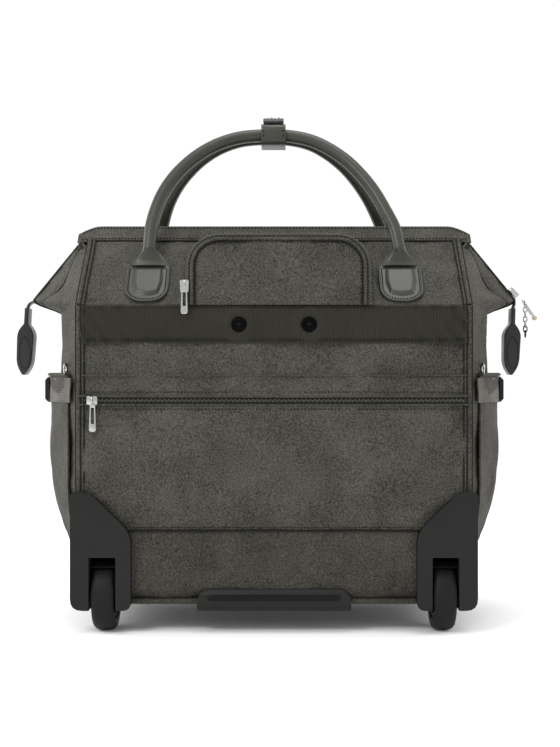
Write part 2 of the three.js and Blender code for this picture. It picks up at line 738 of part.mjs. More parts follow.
// ---------- assembly ----------
buildPanels();
buildBackTrim();
buildWheels();
buildFeet();
buildTrolley();
buildTrolleyPocket();
buildWings();
buildSidePockets();
buildInside();
buildZipPulls();

const turned = new THREE.Group();
turned.rotation.z = Math.PI;
root.add(turned);
buildMouthHalf("back", root);
buildMouthHalf("front", turned);
buildHandleWrap();

export default root;
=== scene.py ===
import json
import math

import bmesh
import bpy
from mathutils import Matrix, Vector, noise


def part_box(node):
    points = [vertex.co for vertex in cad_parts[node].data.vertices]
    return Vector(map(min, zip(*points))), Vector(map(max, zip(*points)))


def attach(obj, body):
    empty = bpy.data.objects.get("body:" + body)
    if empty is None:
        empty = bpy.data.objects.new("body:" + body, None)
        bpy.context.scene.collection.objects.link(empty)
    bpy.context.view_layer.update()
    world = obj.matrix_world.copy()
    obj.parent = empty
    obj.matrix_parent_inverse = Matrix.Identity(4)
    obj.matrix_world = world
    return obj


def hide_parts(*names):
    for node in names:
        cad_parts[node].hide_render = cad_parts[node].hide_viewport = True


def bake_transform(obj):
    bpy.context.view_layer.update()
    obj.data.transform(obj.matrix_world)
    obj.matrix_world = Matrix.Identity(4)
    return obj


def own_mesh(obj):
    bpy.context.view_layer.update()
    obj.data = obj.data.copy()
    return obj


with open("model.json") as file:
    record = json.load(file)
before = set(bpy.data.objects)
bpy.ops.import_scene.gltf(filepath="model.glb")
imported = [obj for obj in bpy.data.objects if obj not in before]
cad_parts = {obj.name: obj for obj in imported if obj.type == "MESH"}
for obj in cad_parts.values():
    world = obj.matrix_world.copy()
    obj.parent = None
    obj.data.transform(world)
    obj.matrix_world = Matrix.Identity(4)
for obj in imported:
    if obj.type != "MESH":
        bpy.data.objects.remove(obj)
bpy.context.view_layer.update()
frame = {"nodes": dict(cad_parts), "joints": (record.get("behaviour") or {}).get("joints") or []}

# ---------- places, worked out from the CAD frame ----------
MM = 0.001
BACK_LO, BACK_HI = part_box("back_panel")
FRONT_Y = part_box("front_panel")[1].y
SIDE_LO, SIDE_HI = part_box("side_panel_right")
STRAP_LO, STRAP_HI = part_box("webbing_band")
FLAP_LO, FLAP_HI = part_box("trolley_flap")
SKID_LO, SKID_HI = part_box("skid_plate")
ZIP_LO, ZIP_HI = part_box("back_zip")
SIDE_STRAP_LO, SIDE_STRAP_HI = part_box("side_strap_right")
TAB_LO, TAB_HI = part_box("handle_tab_back_right")
WING_END_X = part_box("wing_right")[1].x

BACK_Y = BACK_LO.y
FLOOR_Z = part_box("base_board")[0].z
EDGE_X = BACK_HI.x + 3.5 * MM  # where the piping runs
PANEL_X = EDGE_X - 1 * MM  # where the cloth of the two faces ends
SHOULDER_Z = STRAP_HI.z
LEAN = math.radians(43)  # the mouth halves lean inwards by this much
YOKE_HEIGHT = 98 * MM
BAND_TOP = 123 * MM
SEAM_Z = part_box("back_pocket")[0].z  # the boot starts below this
FOLD_Z = ZIP_HI.z + 20 * MM
HINGES = {j["name"]: j for j in frame["joints"]}
HANDLE_PIVOT = Vector(HINGES["handle_back_swing"]["pos_m"])
HANDLE_X = (TAB_LO.x + TAB_HI.x) / 2


# ---------- materials ----------
def srgb(r, g, b):
    def linear(c):
        c /= 255
        return c / 12.92 if c <= 0.04045 else ((c + 0.055) / 1.055) ** 2.4

    return (linear(r), linear(g), linear(b), 1)


class Shader:
    """A Principled material with short ways to add nodes to it."""

    def __init__(self, name, roughness, metallic=0.0, specular=0.5):
        self.material = bpy.data.materials.new(name)
        self.material.use_nodes = True
        self.tree = self.material.node_tree
        self.bsdf = self.tree.nodes["Principled BSDF"]
        self.bsdf.inputs["Roughness"].default_value = roughness
        self.bsdf.inputs["Metallic"].default_value = metallic
        self.bsdf.inputs["Specular IOR Level"].default_value = specular
        self.place = self.add("ShaderNodeTexCoord").outputs["Object"]

    def add(self, kind, **inputs):
        node = self.tree.nodes.new(kind)
        for key, value in inputs.items():
            self.feed(node.inputs[key.replace("_", " ")], value)
        return node

    def feed(self, socket, value):
        if isinstance(value, bpy.types.NodeSocket):
            self.tree.links.new(value, socket)
        else:
            socket.default_value = value

    def noise(self, scale, detail=2.0, roughness=0.5):
        node = self.add("ShaderNodeTexNoise", Vector=self.place, Scale=scale, Detail=detail)
        node.inputs["Roughness"].default_value = roughness
        return node.outputs["Fac"]

    def cells(self, scale, feature="F1"):
        node = self.add("ShaderNodeTexVoronoi", Vector=self.place, Scale=scale)
        node.feature = feature
        return node.outputs["Distance"]

    def waves(self, scale, axis, distortion=0.0):
        node = self.add("ShaderNodeTexWave", Vector=self.place, Scale=scale, Distortion=distortion)
        node.bands_direction = axis
        return node.outputs["Fac"]

    def math(self, kind, a, b):
        node = self.tree.nodes.new("ShaderNodeMath")
        node.operation = kind
        self.feed(node.inputs[0], a)
        self.feed(node.inputs[1], b)
        return node.outputs[0]

    def spread(self, value, low, high):
        node = self.add("ShaderNodeMapRange", Value=value)
        node.inputs["To Min"].default_value = low
        node.inputs["To Max"].default_value = high
        return node.outputs["Result"]

    def colour(self, factor, dark, light):
        ramp = self.tree.nodes.new("ShaderNodeValToRGB")
        ramp.color_ramp.elements[0].color = dark
        ramp.color_ramp.elements[1].color = light
        self.feed(ramp.inputs["Fac"], factor)
        self.tree.links.new(ramp.outputs["Color"], self.bsdf.inputs["Base Color"])

    def bump(self, height, strength, distance):
        node = self.add("ShaderNodeBump", Height=height, Strength=strength, Distance=distance)
        self.tree.links.new(node.outputs["Normal"], self.bsdf.inputs["Normal"])

    def roughness(self, value):
        self.tree.links.new(value, self.bsdf.inputs["Roughness"])


def grained_cloth(name, dark, light):
    """Coated cloth with a fine pebble grain, slightly mottled."""
    s = Shader(name, 0.66, specular=0.16)
    pebbles = s.cells(430)
    mottle = s.noise(26, 4, 0.6)
    speckle = s.noise(620, 3, 0.7)
    tone = s.math("ADD", s.math("MULTIPLY", speckle, 2.4), s.math("MULTIPLY", mottle, 0.7))
    s.colour(s.math("SUBTRACT", tone, 1.08), dark, light)
    s.bump(s.math("ADD", pebbles, s.math("MULTIPLY", speckle, 0.7)), 0.6, 0.0012)
    s.roughness(s.spread(s.noise(60, 3), 0.56, 0.74))
    return s.material


def leather(name, dark, light, roughness=0.42, grain=520):
    s = Shader(name, roughness, specular=0.3)
    creases = s.cells(grain, "SMOOTH_F1")
    wear = s.noise(40, 4, 0.65)
    s.colour(wear, dark, light)
    s.bump(s.math("ADD", creases, s.noise(1400, 2)), 0.22, 0.0004)
    s.roughness(s.spread(wear, roughness - 0.1, roughness + 0.12))
    s.bsdf.inputs["Coat Weight"].default_value = 0.12
    s.bsdf.inputs["Coat Roughness"].default_value = 0.35
    return s.material


def woven(name, dark, light, axis, threads, roughness=0.5, specular=0.15):
    """A ribbed ribbon: ribs across it, crossed by a finer thread."""
    s = Shader(name, roughness, specular=specular)
    ribs = s.waves(threads, axis, 0.4)
    thread = s.waves(threads * 1.7, "DIAGONAL", 0.6)
    weave = s.math("ADD", s.math("MULTIPLY", ribs, 0.7), s.math("MULTIPLY", thread, 0.35))
    patches = s.noise(22, 3, 0.6)
    s.colour(s.math("MULTIPLY", weave, s.spread(patches, 0.45, 1.25)), dark, light)
    s.bump(weave, 0.5, 0.0005)
    s.roughness(s.spread(patches, roughness - 0.12, roughness + 0.15))
    return s.material


def moulded(name, dark, light, roughness, texture=0.12, scale=1800):
    s = Shader(name, roughness, specular=0.13)
    haze = s.noise(14, 4, 0.6)
    s.colour(haze, dark, light)
    s.bump(s.noise(scale, 3), texture, 0.0003)
    s.roughness(s.spread(haze, roughness - 0.06, roughness + 0.1))
    return s.material


def metal(name, dark, light, roughness, brushed=0.0):
    s = Shader(name, roughness, 1.0)
    haze = s.noise(90, 3)
    s.colour(haze, dark, light)
    s.roughness(s.spread(haze, roughness, roughness + 0.1))
    if brushed:
        s.bump(s.waves(900, "Z", 6.0), brushed, 0.0002)
    return s.material


CLOTH = grained_cloth("grained_cloth", srgb(20, 19, 16), srgb(86, 84, 77))
# painted shade: a darker copy of the same cloth for the lowest panels, the boot and the base board, where
# less light falls
CLOTH_SHADED = grained_cloth("grained_cloth_shaded", srgb(19, 18, 15), srgb(78, 75, 68))
PIPING = grained_cloth("piping_cloth", srgb(22, 21, 17), srgb(84, 82, 73))
LEATHER = leather("smooth_leather", srgb(38, 39, 33), srgb(54, 55, 47), 0.36)
LEATHER_DARK = leather("edge_leather", srgb(16, 17, 17), srgb(32, 33, 32), 0.34)
WEBBING = woven("ribbed_webbing", srgb(17, 16, 12), srgb(50, 48, 37), "X", 380, 0.36, 0.2)
SATIN = woven("satin_webbing", srgb(22, 20, 14), srgb(70, 66, 50), "Y", 240, 0.28, 0.4)
TAPE = woven("zip_tape", srgb(22, 22, 19), srgb(46, 46, 40), "X", 320, 0.62)
TEETH = moulded("zip_teeth", srgb(62, 63, 56), srgb(88, 88, 79), 0.36)
# dark sewing thread for the stitching; the same material on the cords beside the piping is painted shade in
# the seam grooves
THREAD_AND_SEAM_SHADE = woven("sewing_thread_and_seam_shade", srgb(14, 14, 12), srgb(30, 30, 26), "X", 700, 0.6)
PLASTIC = moulded("moulded_black", srgb(24, 25, 24), srgb(36, 37, 35), 0.4, 0.12, 1300)
TYRE = moulded("tyre_rubber", srgb(18, 18, 18), srgb(27, 27, 26), 0.5, 0.12)
HUB = moulded("hub_plastic", srgb(9, 9, 9), srgb(16, 16, 16), 0.45)
SCREW = metal("black_screw", srgb(8, 8, 8), srgb(18, 18, 18), 0.35)
NICKEL = metal("polished_nickel", srgb(150, 151, 149), srgb(196, 197, 195), 0.1)
BRASS = metal("brass_tip", srgb(150, 118, 80), srgb(190, 158, 112), 0.25)
STEEL = metal("plain_steel", srgb(130, 132, 134), srgb(170, 172, 174), 0.3, 0.1)
ALUMINIUM = metal("satin_aluminium", srgb(150, 152, 154), srgb(182, 184, 186), 0.32, 0.15)
LINING = woven("lining_cloth", srgb(94, 90, 82), srgb(134, 129, 119), "X", 420, 0.7)


# ---------- mesh helpers ----------
def piece(name, verts, faces, body, slot, material, replaces=(), sharp=50):
    mesh = bpy.data.meshes.new(name)
    mesh.from_pydata([tuple(v) for v in verts], [], faces)
    mesh.materials.append(material)
    mesh.shade_smooth()
    mesh.set_sharp_from_angle(angle=math.radians(sharp))
    return adopt(bpy.data.objects.new(name, mesh), body, slot, replaces)


def adopt(obj, body, slot, replaces=()):
    if obj.name not in bpy.context.scene.collection.objects:
        bpy.context.scene.collection.objects.link(obj)
    if body:
        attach(obj, body)
    if replaces:
        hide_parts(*replaces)
    return obj


def bake(obj):
    """Puts the object's modifiers into its mesh."""
    graph = bpy.context.evaluated_depsgraph_get()
    mesh = bpy.data.meshes.new_from_object(obj.evaluated_get(graph))
    obj.modifiers.clear()
    obj.data = mesh


def recalc(obj):
    """Turns all of a closed mesh's faces outwards."""
    bm = bmesh.new()
    bm.from_mesh(obj.data)
    bmesh.ops.recalc_face_normals(bm, faces=bm.faces)
    bm.to_mesh(obj.data)
    bm.free()


def flipped(p, flip_x, flip_y=1):
    return Vector((p.x * flip_x, p.y * flip_y, p.z))


def circle(centre, a, b, count):
    """A ring of points round a centre; a and b are its half axes."""
    turns = [2 * math.pi * k / count for k in range(count)]
    return [centre + a * math.cos(t) + b * math.sin(t) for t in turns]


def grid(surface, columns, rows):
    return [[Vector(surface(i / columns, j / rows)) for i in range(columns + 1)] for j in range(rows + 1)]


def grid_normals(points):
    rows, columns = len(points) - 1, len(points[0]) - 1
    normals = []
    for j in range(rows + 1):
        line = []
        for i in range(columns + 1):
            du = points[j][min(i + 1, columns)] - points[j][max(i - 1, 0)]
            dv = points[min(j + 1, rows)][i] - points[max(j - 1, 0)][i]
            line.append(du.cross(dv).normalized())
        normals.append(line)
    return normals


def mirrored(points):
    return [[flipped(p, -1) for p in reversed(row)] for row in points]


def thick_sheet(name, points, thickness, body, slot, material, replaces=(), sharp=50):
    """A closed sheet whose outer face is the grid of points."""
    rows, columns = len(points) - 1, len(points[0]) - 1
    normals = grid_normals(points)
    outer = [p for row in points for p in row]
    inner = [p - n * thickness for row, line in zip(points, normals) for p, n in zip(row, line)]
    layer = len(outer)

    def at(k, i, j):
        return k * layer + j * (columns + 1) + i

    faces = []
    for j in range(rows):
        for i in range(columns):
            faces.append((at(0, i, j), at(0, i + 1, j), at(0, i + 1, j + 1), at(0, i, j + 1)))
            faces.append((at(1, i, j), at(1, i, j + 1), at(1, i + 1, j + 1), at(1, i + 1, j)))
        faces.append((at(0, 0, j), at(0, 0, j + 1), at(1, 0, j + 1), at(1, 0, j)))
        faces.append((at(0, columns, j), at(1, columns, j), at(1, columns, j + 1), at(0, columns, j + 1)))
    for i in range(columns):
        faces.append((at(0, i, 0), at(1, i, 0), at(1, i + 1, 0), at(0, i + 1, 0)))
        faces.append((at(0, i, rows), at(0, i + 1, rows), at(1, i + 1, rows), at(1, i, rows)))
    return piece(name, outer + inner, faces, body, slot, material, replaces, sharp)


def relax_cloth(points, pressure, slack, frames=18, cap=0.006, stiffness=12.0):
    """Runs cloth on a grid sewn down round its edge, with a little slack in it, and returns the new grid."""
    rows, columns = len(points) - 1, len(points[0]) - 1
    mesh = bpy.data.meshes.new("cloth_run")
    faces = []
    for j in range(rows):
        for i in range(columns):
            a = j * (columns + 1) + i
            faces.append((a, a + 1, a + columns + 2, a + columns + 1))
    mesh.from_pydata([tuple(p) for row in points for p in row], [], faces)
    obj = bpy.data.objects.new("cloth_run", mesh)
    bpy.context.scene.collection.objects.link(obj)
    sewn = obj.vertex_groups.new(name="sewn")
    edge = [
        j * (columns + 1) + i
        for j in range(rows + 1)
        for i in range(columns + 1)
        if i in (0, columns) or j in (0, rows)
    ]
    sewn.add(edge, 1.0, "REPLACE")
    cloth = obj.modifiers.new("cloth", "CLOTH")
    s = cloth.settings
    s.vertex_group_mass = "sewn"
    s.quality = 6
    s.mass = 0.25
    s.tension_stiffness = s.compression_stiffness = stiffness
    s.shear_stiffness = stiffness / 2
    s.bending_stiffness = 0.4
    s.use_pressure = True
    s.uniform_pressure_force = pressure
    s.shrink_min = s.shrink_max = -slack
    s.effector_weights.gravity = 0
    cloth.point_cache.frame_end = frames
    scene = bpy.context.scene
    for step in range(1, frames + 1):
        scene.frame_set(step)
    graph = bpy.context.evaluated_depsgraph_get()
    done = [v.co.copy() for v in obj.evaluated_get(graph).data.vertices]
    scene.frame_set(1)
    bpy.data.objects.remove(obj)
    result = []
    for j in range(rows + 1):
        row = []
        for i in range(columns + 1):
            start = points[j][i]
            move = done[j * (columns + 1) + i] - start
            if move.length > cap:
                move *= cap / move.length
            row.append(start + move)
        result.append(row)
    return result


def sweep(name, path, section, body, slot, material, replaces=(), side=None, closed=False, sharp=60):
    """A bar along a path.

    section(i) gives its outline at point i as (sideways, outwards) pairs, and side(i) its side vector.
    """
    count = len(path)
    verts, faces = [], []
    previous = Vector((0, 0, 1))
    for i, p in enumerate(path):
        ahead = path[(i + 1) % count] if closed else path[min(i + 1, count - 1)]
        behind = path[i - 1] if closed or i else path[0]
        along = (ahead - behind).normalized()
        across = side(i) if side else previous
        across = (across - along * across.dot(along)).normalized()
        if across.length < 0.5:
            across = along.orthogonal().normalized()
        out = across.cross(along).normalized()
        previous = across
        verts += [p + across * a + out * b for a, b in section(i)]
    sides = len(section(0))
    spans = count if closed else count - 1
    for i in range(spans):
        for k in range(sides):
            a, b = i * sides + k, i * sides + (k + 1) % sides
            c, d = ((i + 1) % count) * sides + (k + 1) % sides, ((i + 1) % count) * sides + k
            faces.append((a, b, c, d))
    if not closed:
        faces.append(tuple(range(sides))[::-1])
        faces.append(tuple((count - 1) * sides + k for k in range(sides)))
    obj = piece(name, verts, faces, None, slot, material, (), sharp)
    recalc(obj)
    if body:
        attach(obj, body)
    if replaces:
        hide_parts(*replaces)
    return obj


def oval(wide, deep, sides=12):
    turns = [2 * math.pi * k / sides for k in range(sides)]
    return [(wide * math.cos(t), deep * math.sin(t)) for t in turns]


def cord_of(name, path, radius, body, slot, material, sides=10, closed=False):
    return sweep(name, path, lambda i: oval(radius, radius, sides), body, slot, material, closed=closed)


def piping_cord(name, path, radius, body, sides=10):
    return cord_of(name, path, radius, body, "fabric", PIPING, sides)


def seam_cord(name, path, radius, body, sides=8):
    return cord_of(name, path, radius, body, "zip_tape", THREAD_AND_SEAM_SHADE, sides)


def walk_along(path, pitch):
    """Evenly spaced places along a path, about a pitch apart, each with the path's direction there."""
    lengths = [0.0]
    for a, b in zip(path, path[1:]):
        lengths.append(lengths[-1] + (b - a).length)
    count = int(lengths[-1] / pitch)
    k = 0
    for n in range(count):
        middle = (n + 0.5) * lengths[-1] / count
        while k < len(path) - 2 and lengths[k + 1] < middle:
            k += 1
        along = (path[k + 1] - path[k]).normalized()
        yield path[k] + along * (middle - lengths[k]), along


def softened(node, body, slot, material, radius=0.0008, segments=2, angle=35):
    """The CAD node's own shape with rounded edges, which stands for it."""
    source = frame["nodes"][node]
    obj = bpy.data.objects.new(node + "_finished", source.data.copy())
    obj.matrix_world = source.matrix_world.copy()
    bpy.context.scene.collection.objects.link(obj)
    obj.data.transform(obj.matrix_world)
    obj.matrix_world.identity()
    bm = bmesh.new()
    bm.from_mesh(obj.data)
    bmesh.ops.remove_doubles(bm, verts=bm.verts, dist=0.00001)
    bmesh.ops.dissolve_limit(bm, angle_limit=math.radians(3), verts=bm.verts, edges=bm.edges)
    bm.to_mesh(obj.data)
    bm.free()
    obj.data.materials.clear()
    obj.data.materials.append(material)
    bevel = obj.modifiers.new("bevel", "BEVEL")
    bevel.width = radius
    bevel.segments = segments
    bevel.limit_method = "ANGLE"
    bevel.angle_limit = math.radians(angle)
    bake(obj)
    obj.data.shade_smooth()
    obj.data.set_sharp_from_angle(angle=math.radians(40))
    return adopt(obj, body, slot, (node,))


class Stitching:
    """Collects seams and sews each body's in one piece."""

    def __init__(self):
        self.seams = {}

    def seam(self, body, path, out, pitch=0.0034, length=0.0025, radius=0.00042, stand=0.0002):
        """Stitches along a path of points; out is the way the cloth faces."""
        stitches = self.seams.setdefault(body, [])
        for centre, along in walk_along(path, pitch):
            stitches.append((centre + out * stand, along * (length / 2), out * radius))

    def sew(self):
        for body, stitches in self.seams.items():
            verts, faces = [], []
            for centre, half, lift in stitches:
                across = half.cross(lift).normalized() * lift.length * 1.3
                base = len(verts)
                ring = [across, across * 0.6 + lift, -across * 0.6 + lift, -across, -lift]
                verts.append(centre - half)
                for end in (-0.55, 0.55):
                    verts += [centre + half * end + r for r in ring]
                verts.append(centre + half)
                n = len(ring)
                for r in range(n):
                    s = (r + 1) % n
                    faces.append((base, base + 1 + s, base + 1 + r))
                    faces.append((base + 1 + r, base + 1 + s, base + 1 + n + s, base + 1 + n + r))
                    faces.append((base + 1 + n + r, base + 1 + n + s, base + 1 + 2 * n))
            obj = piece("stitching_" + body, verts, faces, None, "zip_tape", THREAD_AND_SEAM_SHADE)
            recalc(obj)
            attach(obj, body)


stitching = Stitching()


def zip_teeth(name, path, out, body, pitch=0.0022, size=0.0013):
    """Two rows of meshed teeth along a path."""
    verts, faces = [], []
    for n, (centre, along) in enumerate(walk_along(path, pitch)):
        across = along.cross(out).normalized() * (size if n % 2 else -size)
        centre = centre + across * 0.35
        base = len(verts)
        for lift, spread in ((0.0, 1.0), (0.0009, 0.72)):
            for sx, sy in ((-1, -1), (1, -1), (1, 1), (-1, 1)):
                verts.append(centre + out * lift + along * sx * pitch * 0.36 * spread + across * sy * spread)
        faces += [
            (base, base + 3, base + 2, base + 1),
            (base + 4, base + 5, base + 6, base + 7),
            (base, base + 1, base + 5, base + 4),
            (base + 1, base + 2, base + 6, base + 5),
            (base + 2, base + 3, base + 7, base + 6),
            (base + 3, base, base + 4, base + 7),
        ]
    obj = piece(name, verts, faces, None, "zip_tape", TEETH, sharp=30)
    recalc(obj)
    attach(obj, body)
    return obj


def smooth(t):
    t = min(1.0, max(0.0, t))
    return t * t * (3 - 2 * t)


def lerp(a, b, t):
    return a + (b - a) * t


def rumple(x, y, z, size, amount):
    """A soft unevenness in cloth, the same on every run."""
    return amount * noise.noise(Vector((x, y, z)) / size)


def straight(a, b, steps=24):
    a, b = Vector(a), Vector(b)
    return [a.lerp(b, i / steps) for i in range(steps + 1)]


OUT_BACK = Vector((0, -1, 0))
OUT_FRONT = Vector((0, 1, 0))


# ---------- camera and light ----------
def set_the_stage():
    scene = bpy.context.scene
    camera_data = bpy.data.cameras.new("camera")
    camera = bpy.data.objects.new("camera", camera_data)
    scene.collection.objects.link(camera)
    distance = 1.2
    photo_width = 0.56  # what the photo spans at the back face, in metres
    camera.location = (0.006, BACK_Y - distance, 0.259)
    camera.rotation_euler = (math.pi / 2, 0, 0)
    camera_data.sensor_fit = "HORIZONTAL"
    camera_data.sensor_width = 36
    camera_data.lens = 36 * distance / photo_width
    scene.camera = camera

    floor_mesh = bpy.data.meshes.new("floor")
    reach = 6
    corners = [(-reach, -reach, 0), (reach, -reach, 0), (reach, reach, 0), (-reach, reach, 0)]
    floor_mesh.from_pydata(corners, [], [(0, 1, 2, 3)])
    pale = Shader("pale_floor", 0.9)
    pale.colour(pale.noise(2, 2), (0.96, 0.96, 0.96, 1), (0.98, 0.98, 0.98, 1))
    floor_mesh.materials.append(pale.material)
    floor = bpy.data.objects.new("floor", floor_mesh)
    scene.collection.objects.link(floor)

    world = bpy.data.worlds.new("studio")
    world.use_nodes = True
    world.node_tree.nodes["Background"].inputs["Color"].default_value = (1, 1, 1, 1)
    world.node_tree.nodes["Background"].inputs["Strength"].default_value = 1.03
    scene.world = world
    scene.view_settings.view_transform = "Standard"

    def softbox(name, place, aim, size, power):
        data = bpy.data.lights.new(name, "AREA")
        data.shape = "DISK"
        data.size = size
        data.energy = power
        lamp = bpy.data.objects.new(name, data)
        lamp.location = place
        lamp.rotation_euler = (Vector(aim) - Vector(place)).to_track_quat("-Z", "Y").to_euler()
        scene.collection.objects.link(lamp)

    aim = (0, 0, 0.3)
    softbox("key", (-0.9, -1.3, 1.5), aim, 0.7, 14)
    softbox("top", (0.1, -0.2, 1.9), aim, 1.1, 12)
    softbox("left_edge", (-1.5, 0.3, 0.7), aim, 0.8, 9)
    softbox("right_edge", (1.5, 0.2, 0.8), aim, 0.8, 5)


# ---------- body ----------
SIDE_START = SIDE_LO.x + 3 * MM
BULGE = SIDE_HI.x - SIDE_START
SIDE_DEPTH = SIDE_HI.y


def side_x(y, z):
    rise = smooth((z - FLOOR_Z) / (0.150 - FLOOR_Z))
    share = max(0.0, 1 - (y / SIDE_DEPTH) ** 2)
    return SIDE_START + (3 * MM + (BULGE - 3 * MM) * rise) * share


def make_back():
    left, right = -PANEL_X, PANEL_X

    def upper(u, v):
        x = lerp(left, right, u)
        z = lerp(ZIP_HI.z - 2 * MM, SHOULDER_Z + 1 * MM, v)
        edge = math.sin(math.pi * u) ** 0.35
        strip = smooth((FOLD_Z - z) / (FOLD_Z - ZIP_HI.z))
        step = 1.0 * MM if z < FOLD_Z else 0.0
        crown = 1.6 * MM * math.sin(math.pi * min(1, max(0, (z - FOLD_Z) / (STRAP_LO.z - FOLD_Z))))
        y = BACK_Y - 0.4 * MM - (3.2 * MM * strip + step + crown) * edge
        return x, y - rumple(x, 0, z, 0.05, 1.1 * MM) * edge, z

    cloth = relax_cloth(grid(upper, 96, 26), 0.15, 0.006, cap=0.002)
    panel = thick_sheet("back_upper_panel", cloth, 2.5 * MM, "case", "fabric", CLOTH, ("back_panel",))

    def pocket(u, v):
        x = lerp(left, right, u)
        z = lerp(SEAM_Z, ZIP_LO.z + 1.5 * MM, v)
        edge = math.sin(math.pi * u) ** 0.4
        low = smooth(v / 0.12)
        sag = 1.6 * MM * math.sin(math.pi * v) * edge
        y = BACK_Y - 0.6 * MM - (2.4 * MM * low + sag) * edge
        return x, y - rumple(x, 1, z, 0.07, 1.5 * MM) * edge * low, z

    cloth = relax_cloth(grid(pocket, 96, 34), 0.5, 0.010, cap=0.004)
    panel = thick_sheet("back_pocket_panel", cloth, 2.2 * MM, "case", "fabric", CLOTH, ("back_pocket",))

    inner_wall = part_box("wheel_housing_right")[0].x + 8 * MM

    def boot(u, v):
        x = lerp(-inner_wall, inner_wall, u)
        z = lerp(FLOOR_Z, SEAM_Z + 0.5 * MM, v)
        under = 11 * MM * (1 - smooth(v / 0.26)) ** 2
        crown = 2.6 * MM * math.sin(math.pi * smooth(v))
        tuck = 1.2 * MM * smooth((v - 0.9) / 0.1)
        y = BACK_Y + 0.2 * MM + under - crown + tuck
        return x, y - rumple(x, 2, z, 0.06, 1.0 * MM), z

    cloth = relax_cloth(grid(boot, 96, 22), 0.3, 0.006, cap=0.0025)
    # painted shade: the boot takes the darker copy of the cloth
    thick_sheet("back_boot_panel", cloth, 2.2 * MM, "case", "fabric", CLOTH_SHADED)

    # Seams: along both sides of the zip and over the boot, then the zip's lips and the fold above it.
    for z, y in (
        (ZIP_LO.z - 3.5 * MM, BACK_Y - 3.9 * MM),
        (ZIP_HI.z + 3.5 * MM, BACK_Y - 4.6 * MM),
        (SEAM_Z + 3 * MM, BACK_Y - 2.2 * MM),
    ):
        stitching.seam("case", straight((left + 5 * MM, y, z), (right - 5 * MM, y, z), 40), OUT_BACK)
    lower = wavy_line(left, right, BACK_Y - 3.8 * MM, ZIP_LO.z + 0.6 * MM)
    piping_cord("zip_lip_lower", lower, 0.9 * MM, "case", 8)
    upper = wavy_line(left, right, BACK_Y - 4.4 * MM, ZIP_HI.z - 0.6 * MM)
    piping_cord("zip_lip_upper", upper, 1.0 * MM, "case", 8)
    boot_top = wavy_line(-inner_wall, inner_wall, BACK_Y - 0.8 * MM, SEAM_Z + 0.2 * MM)
    seam_cord("boot_seam_line", boot_top, 0.9 * MM, "case")
    fold = wavy_line(left + 2 * MM, right - 2 * MM, BACK_Y - 2.8 * MM, FOLD_Z)
    cord_of("fold_edge", fold, 0.8 * MM, "case", "fabric", CLOTH, 8)


def wavy_line(x0, x1, y, z, steps=60):
    across = [lerp(x0, x1, i / steps) for i in range(steps + 1)]
    return [Vector((x, y, z + rumple(x, 0, z, 0.09, 0.5 * MM))) for x in across]


def make_back_zip():
    y = BACK_Y - 1.6 * MM
    middle = (ZIP_LO.z + ZIP_HI.z) / 2

    def tape(u, v):
        z = lerp(ZIP_LO.z, ZIP_HI.z, v)
        return lerp(-PANEL_X, PANEL_X, u), y - 0.5 * MM * math.sin(math.pi * v), z

    thick_sheet("back_zip_tape", grid(tape, 60, 6), 0.8 * MM, "case", "zip_tape", TAPE, ("back_zip",))
    line = straight((ZIP_LO.x, y - 0.6 * MM, middle), (ZIP_HI.x, y - 0.6 * MM, middle), 60)
    zip_teeth("back_zip_chain", line, OUT_BACK, "case")


def make_sides():
    def side(u, v):
        y = lerp(-SIDE_DEPTH, SIDE_DEPTH, u)
        z = lerp(FLOOR_Z + 2 * MM, SHOULDER_Z + 2 * MM, v)
        edge = math.sin(math.pi * u)
        hollow = 2.0 * MM * edge * math.sin(math.pi * smooth((z - 0.24) / 0.09))
        return side_x(y, z) - hollow + rumple(0, y, z, 0.05, 1.6 * MM) * edge, y, z

    cloth = relax_cloth(grid(side, 40, 52), 0.1, 0.004, cap=0.0025)
    for name, points in (("right", cloth), ("left", mirrored(cloth))):
        node = ("side_panel_" + name,)
        panel = thick_sheet("side_body_" + name, points, 2.4 * MM, "case", "fabric", CLOTH, node)

    # painted shade: the base board takes the darker copy of the cloth
    base = softened("base_board", "case", "fabric", CLOTH_SHADED, 2 * MM, 3)


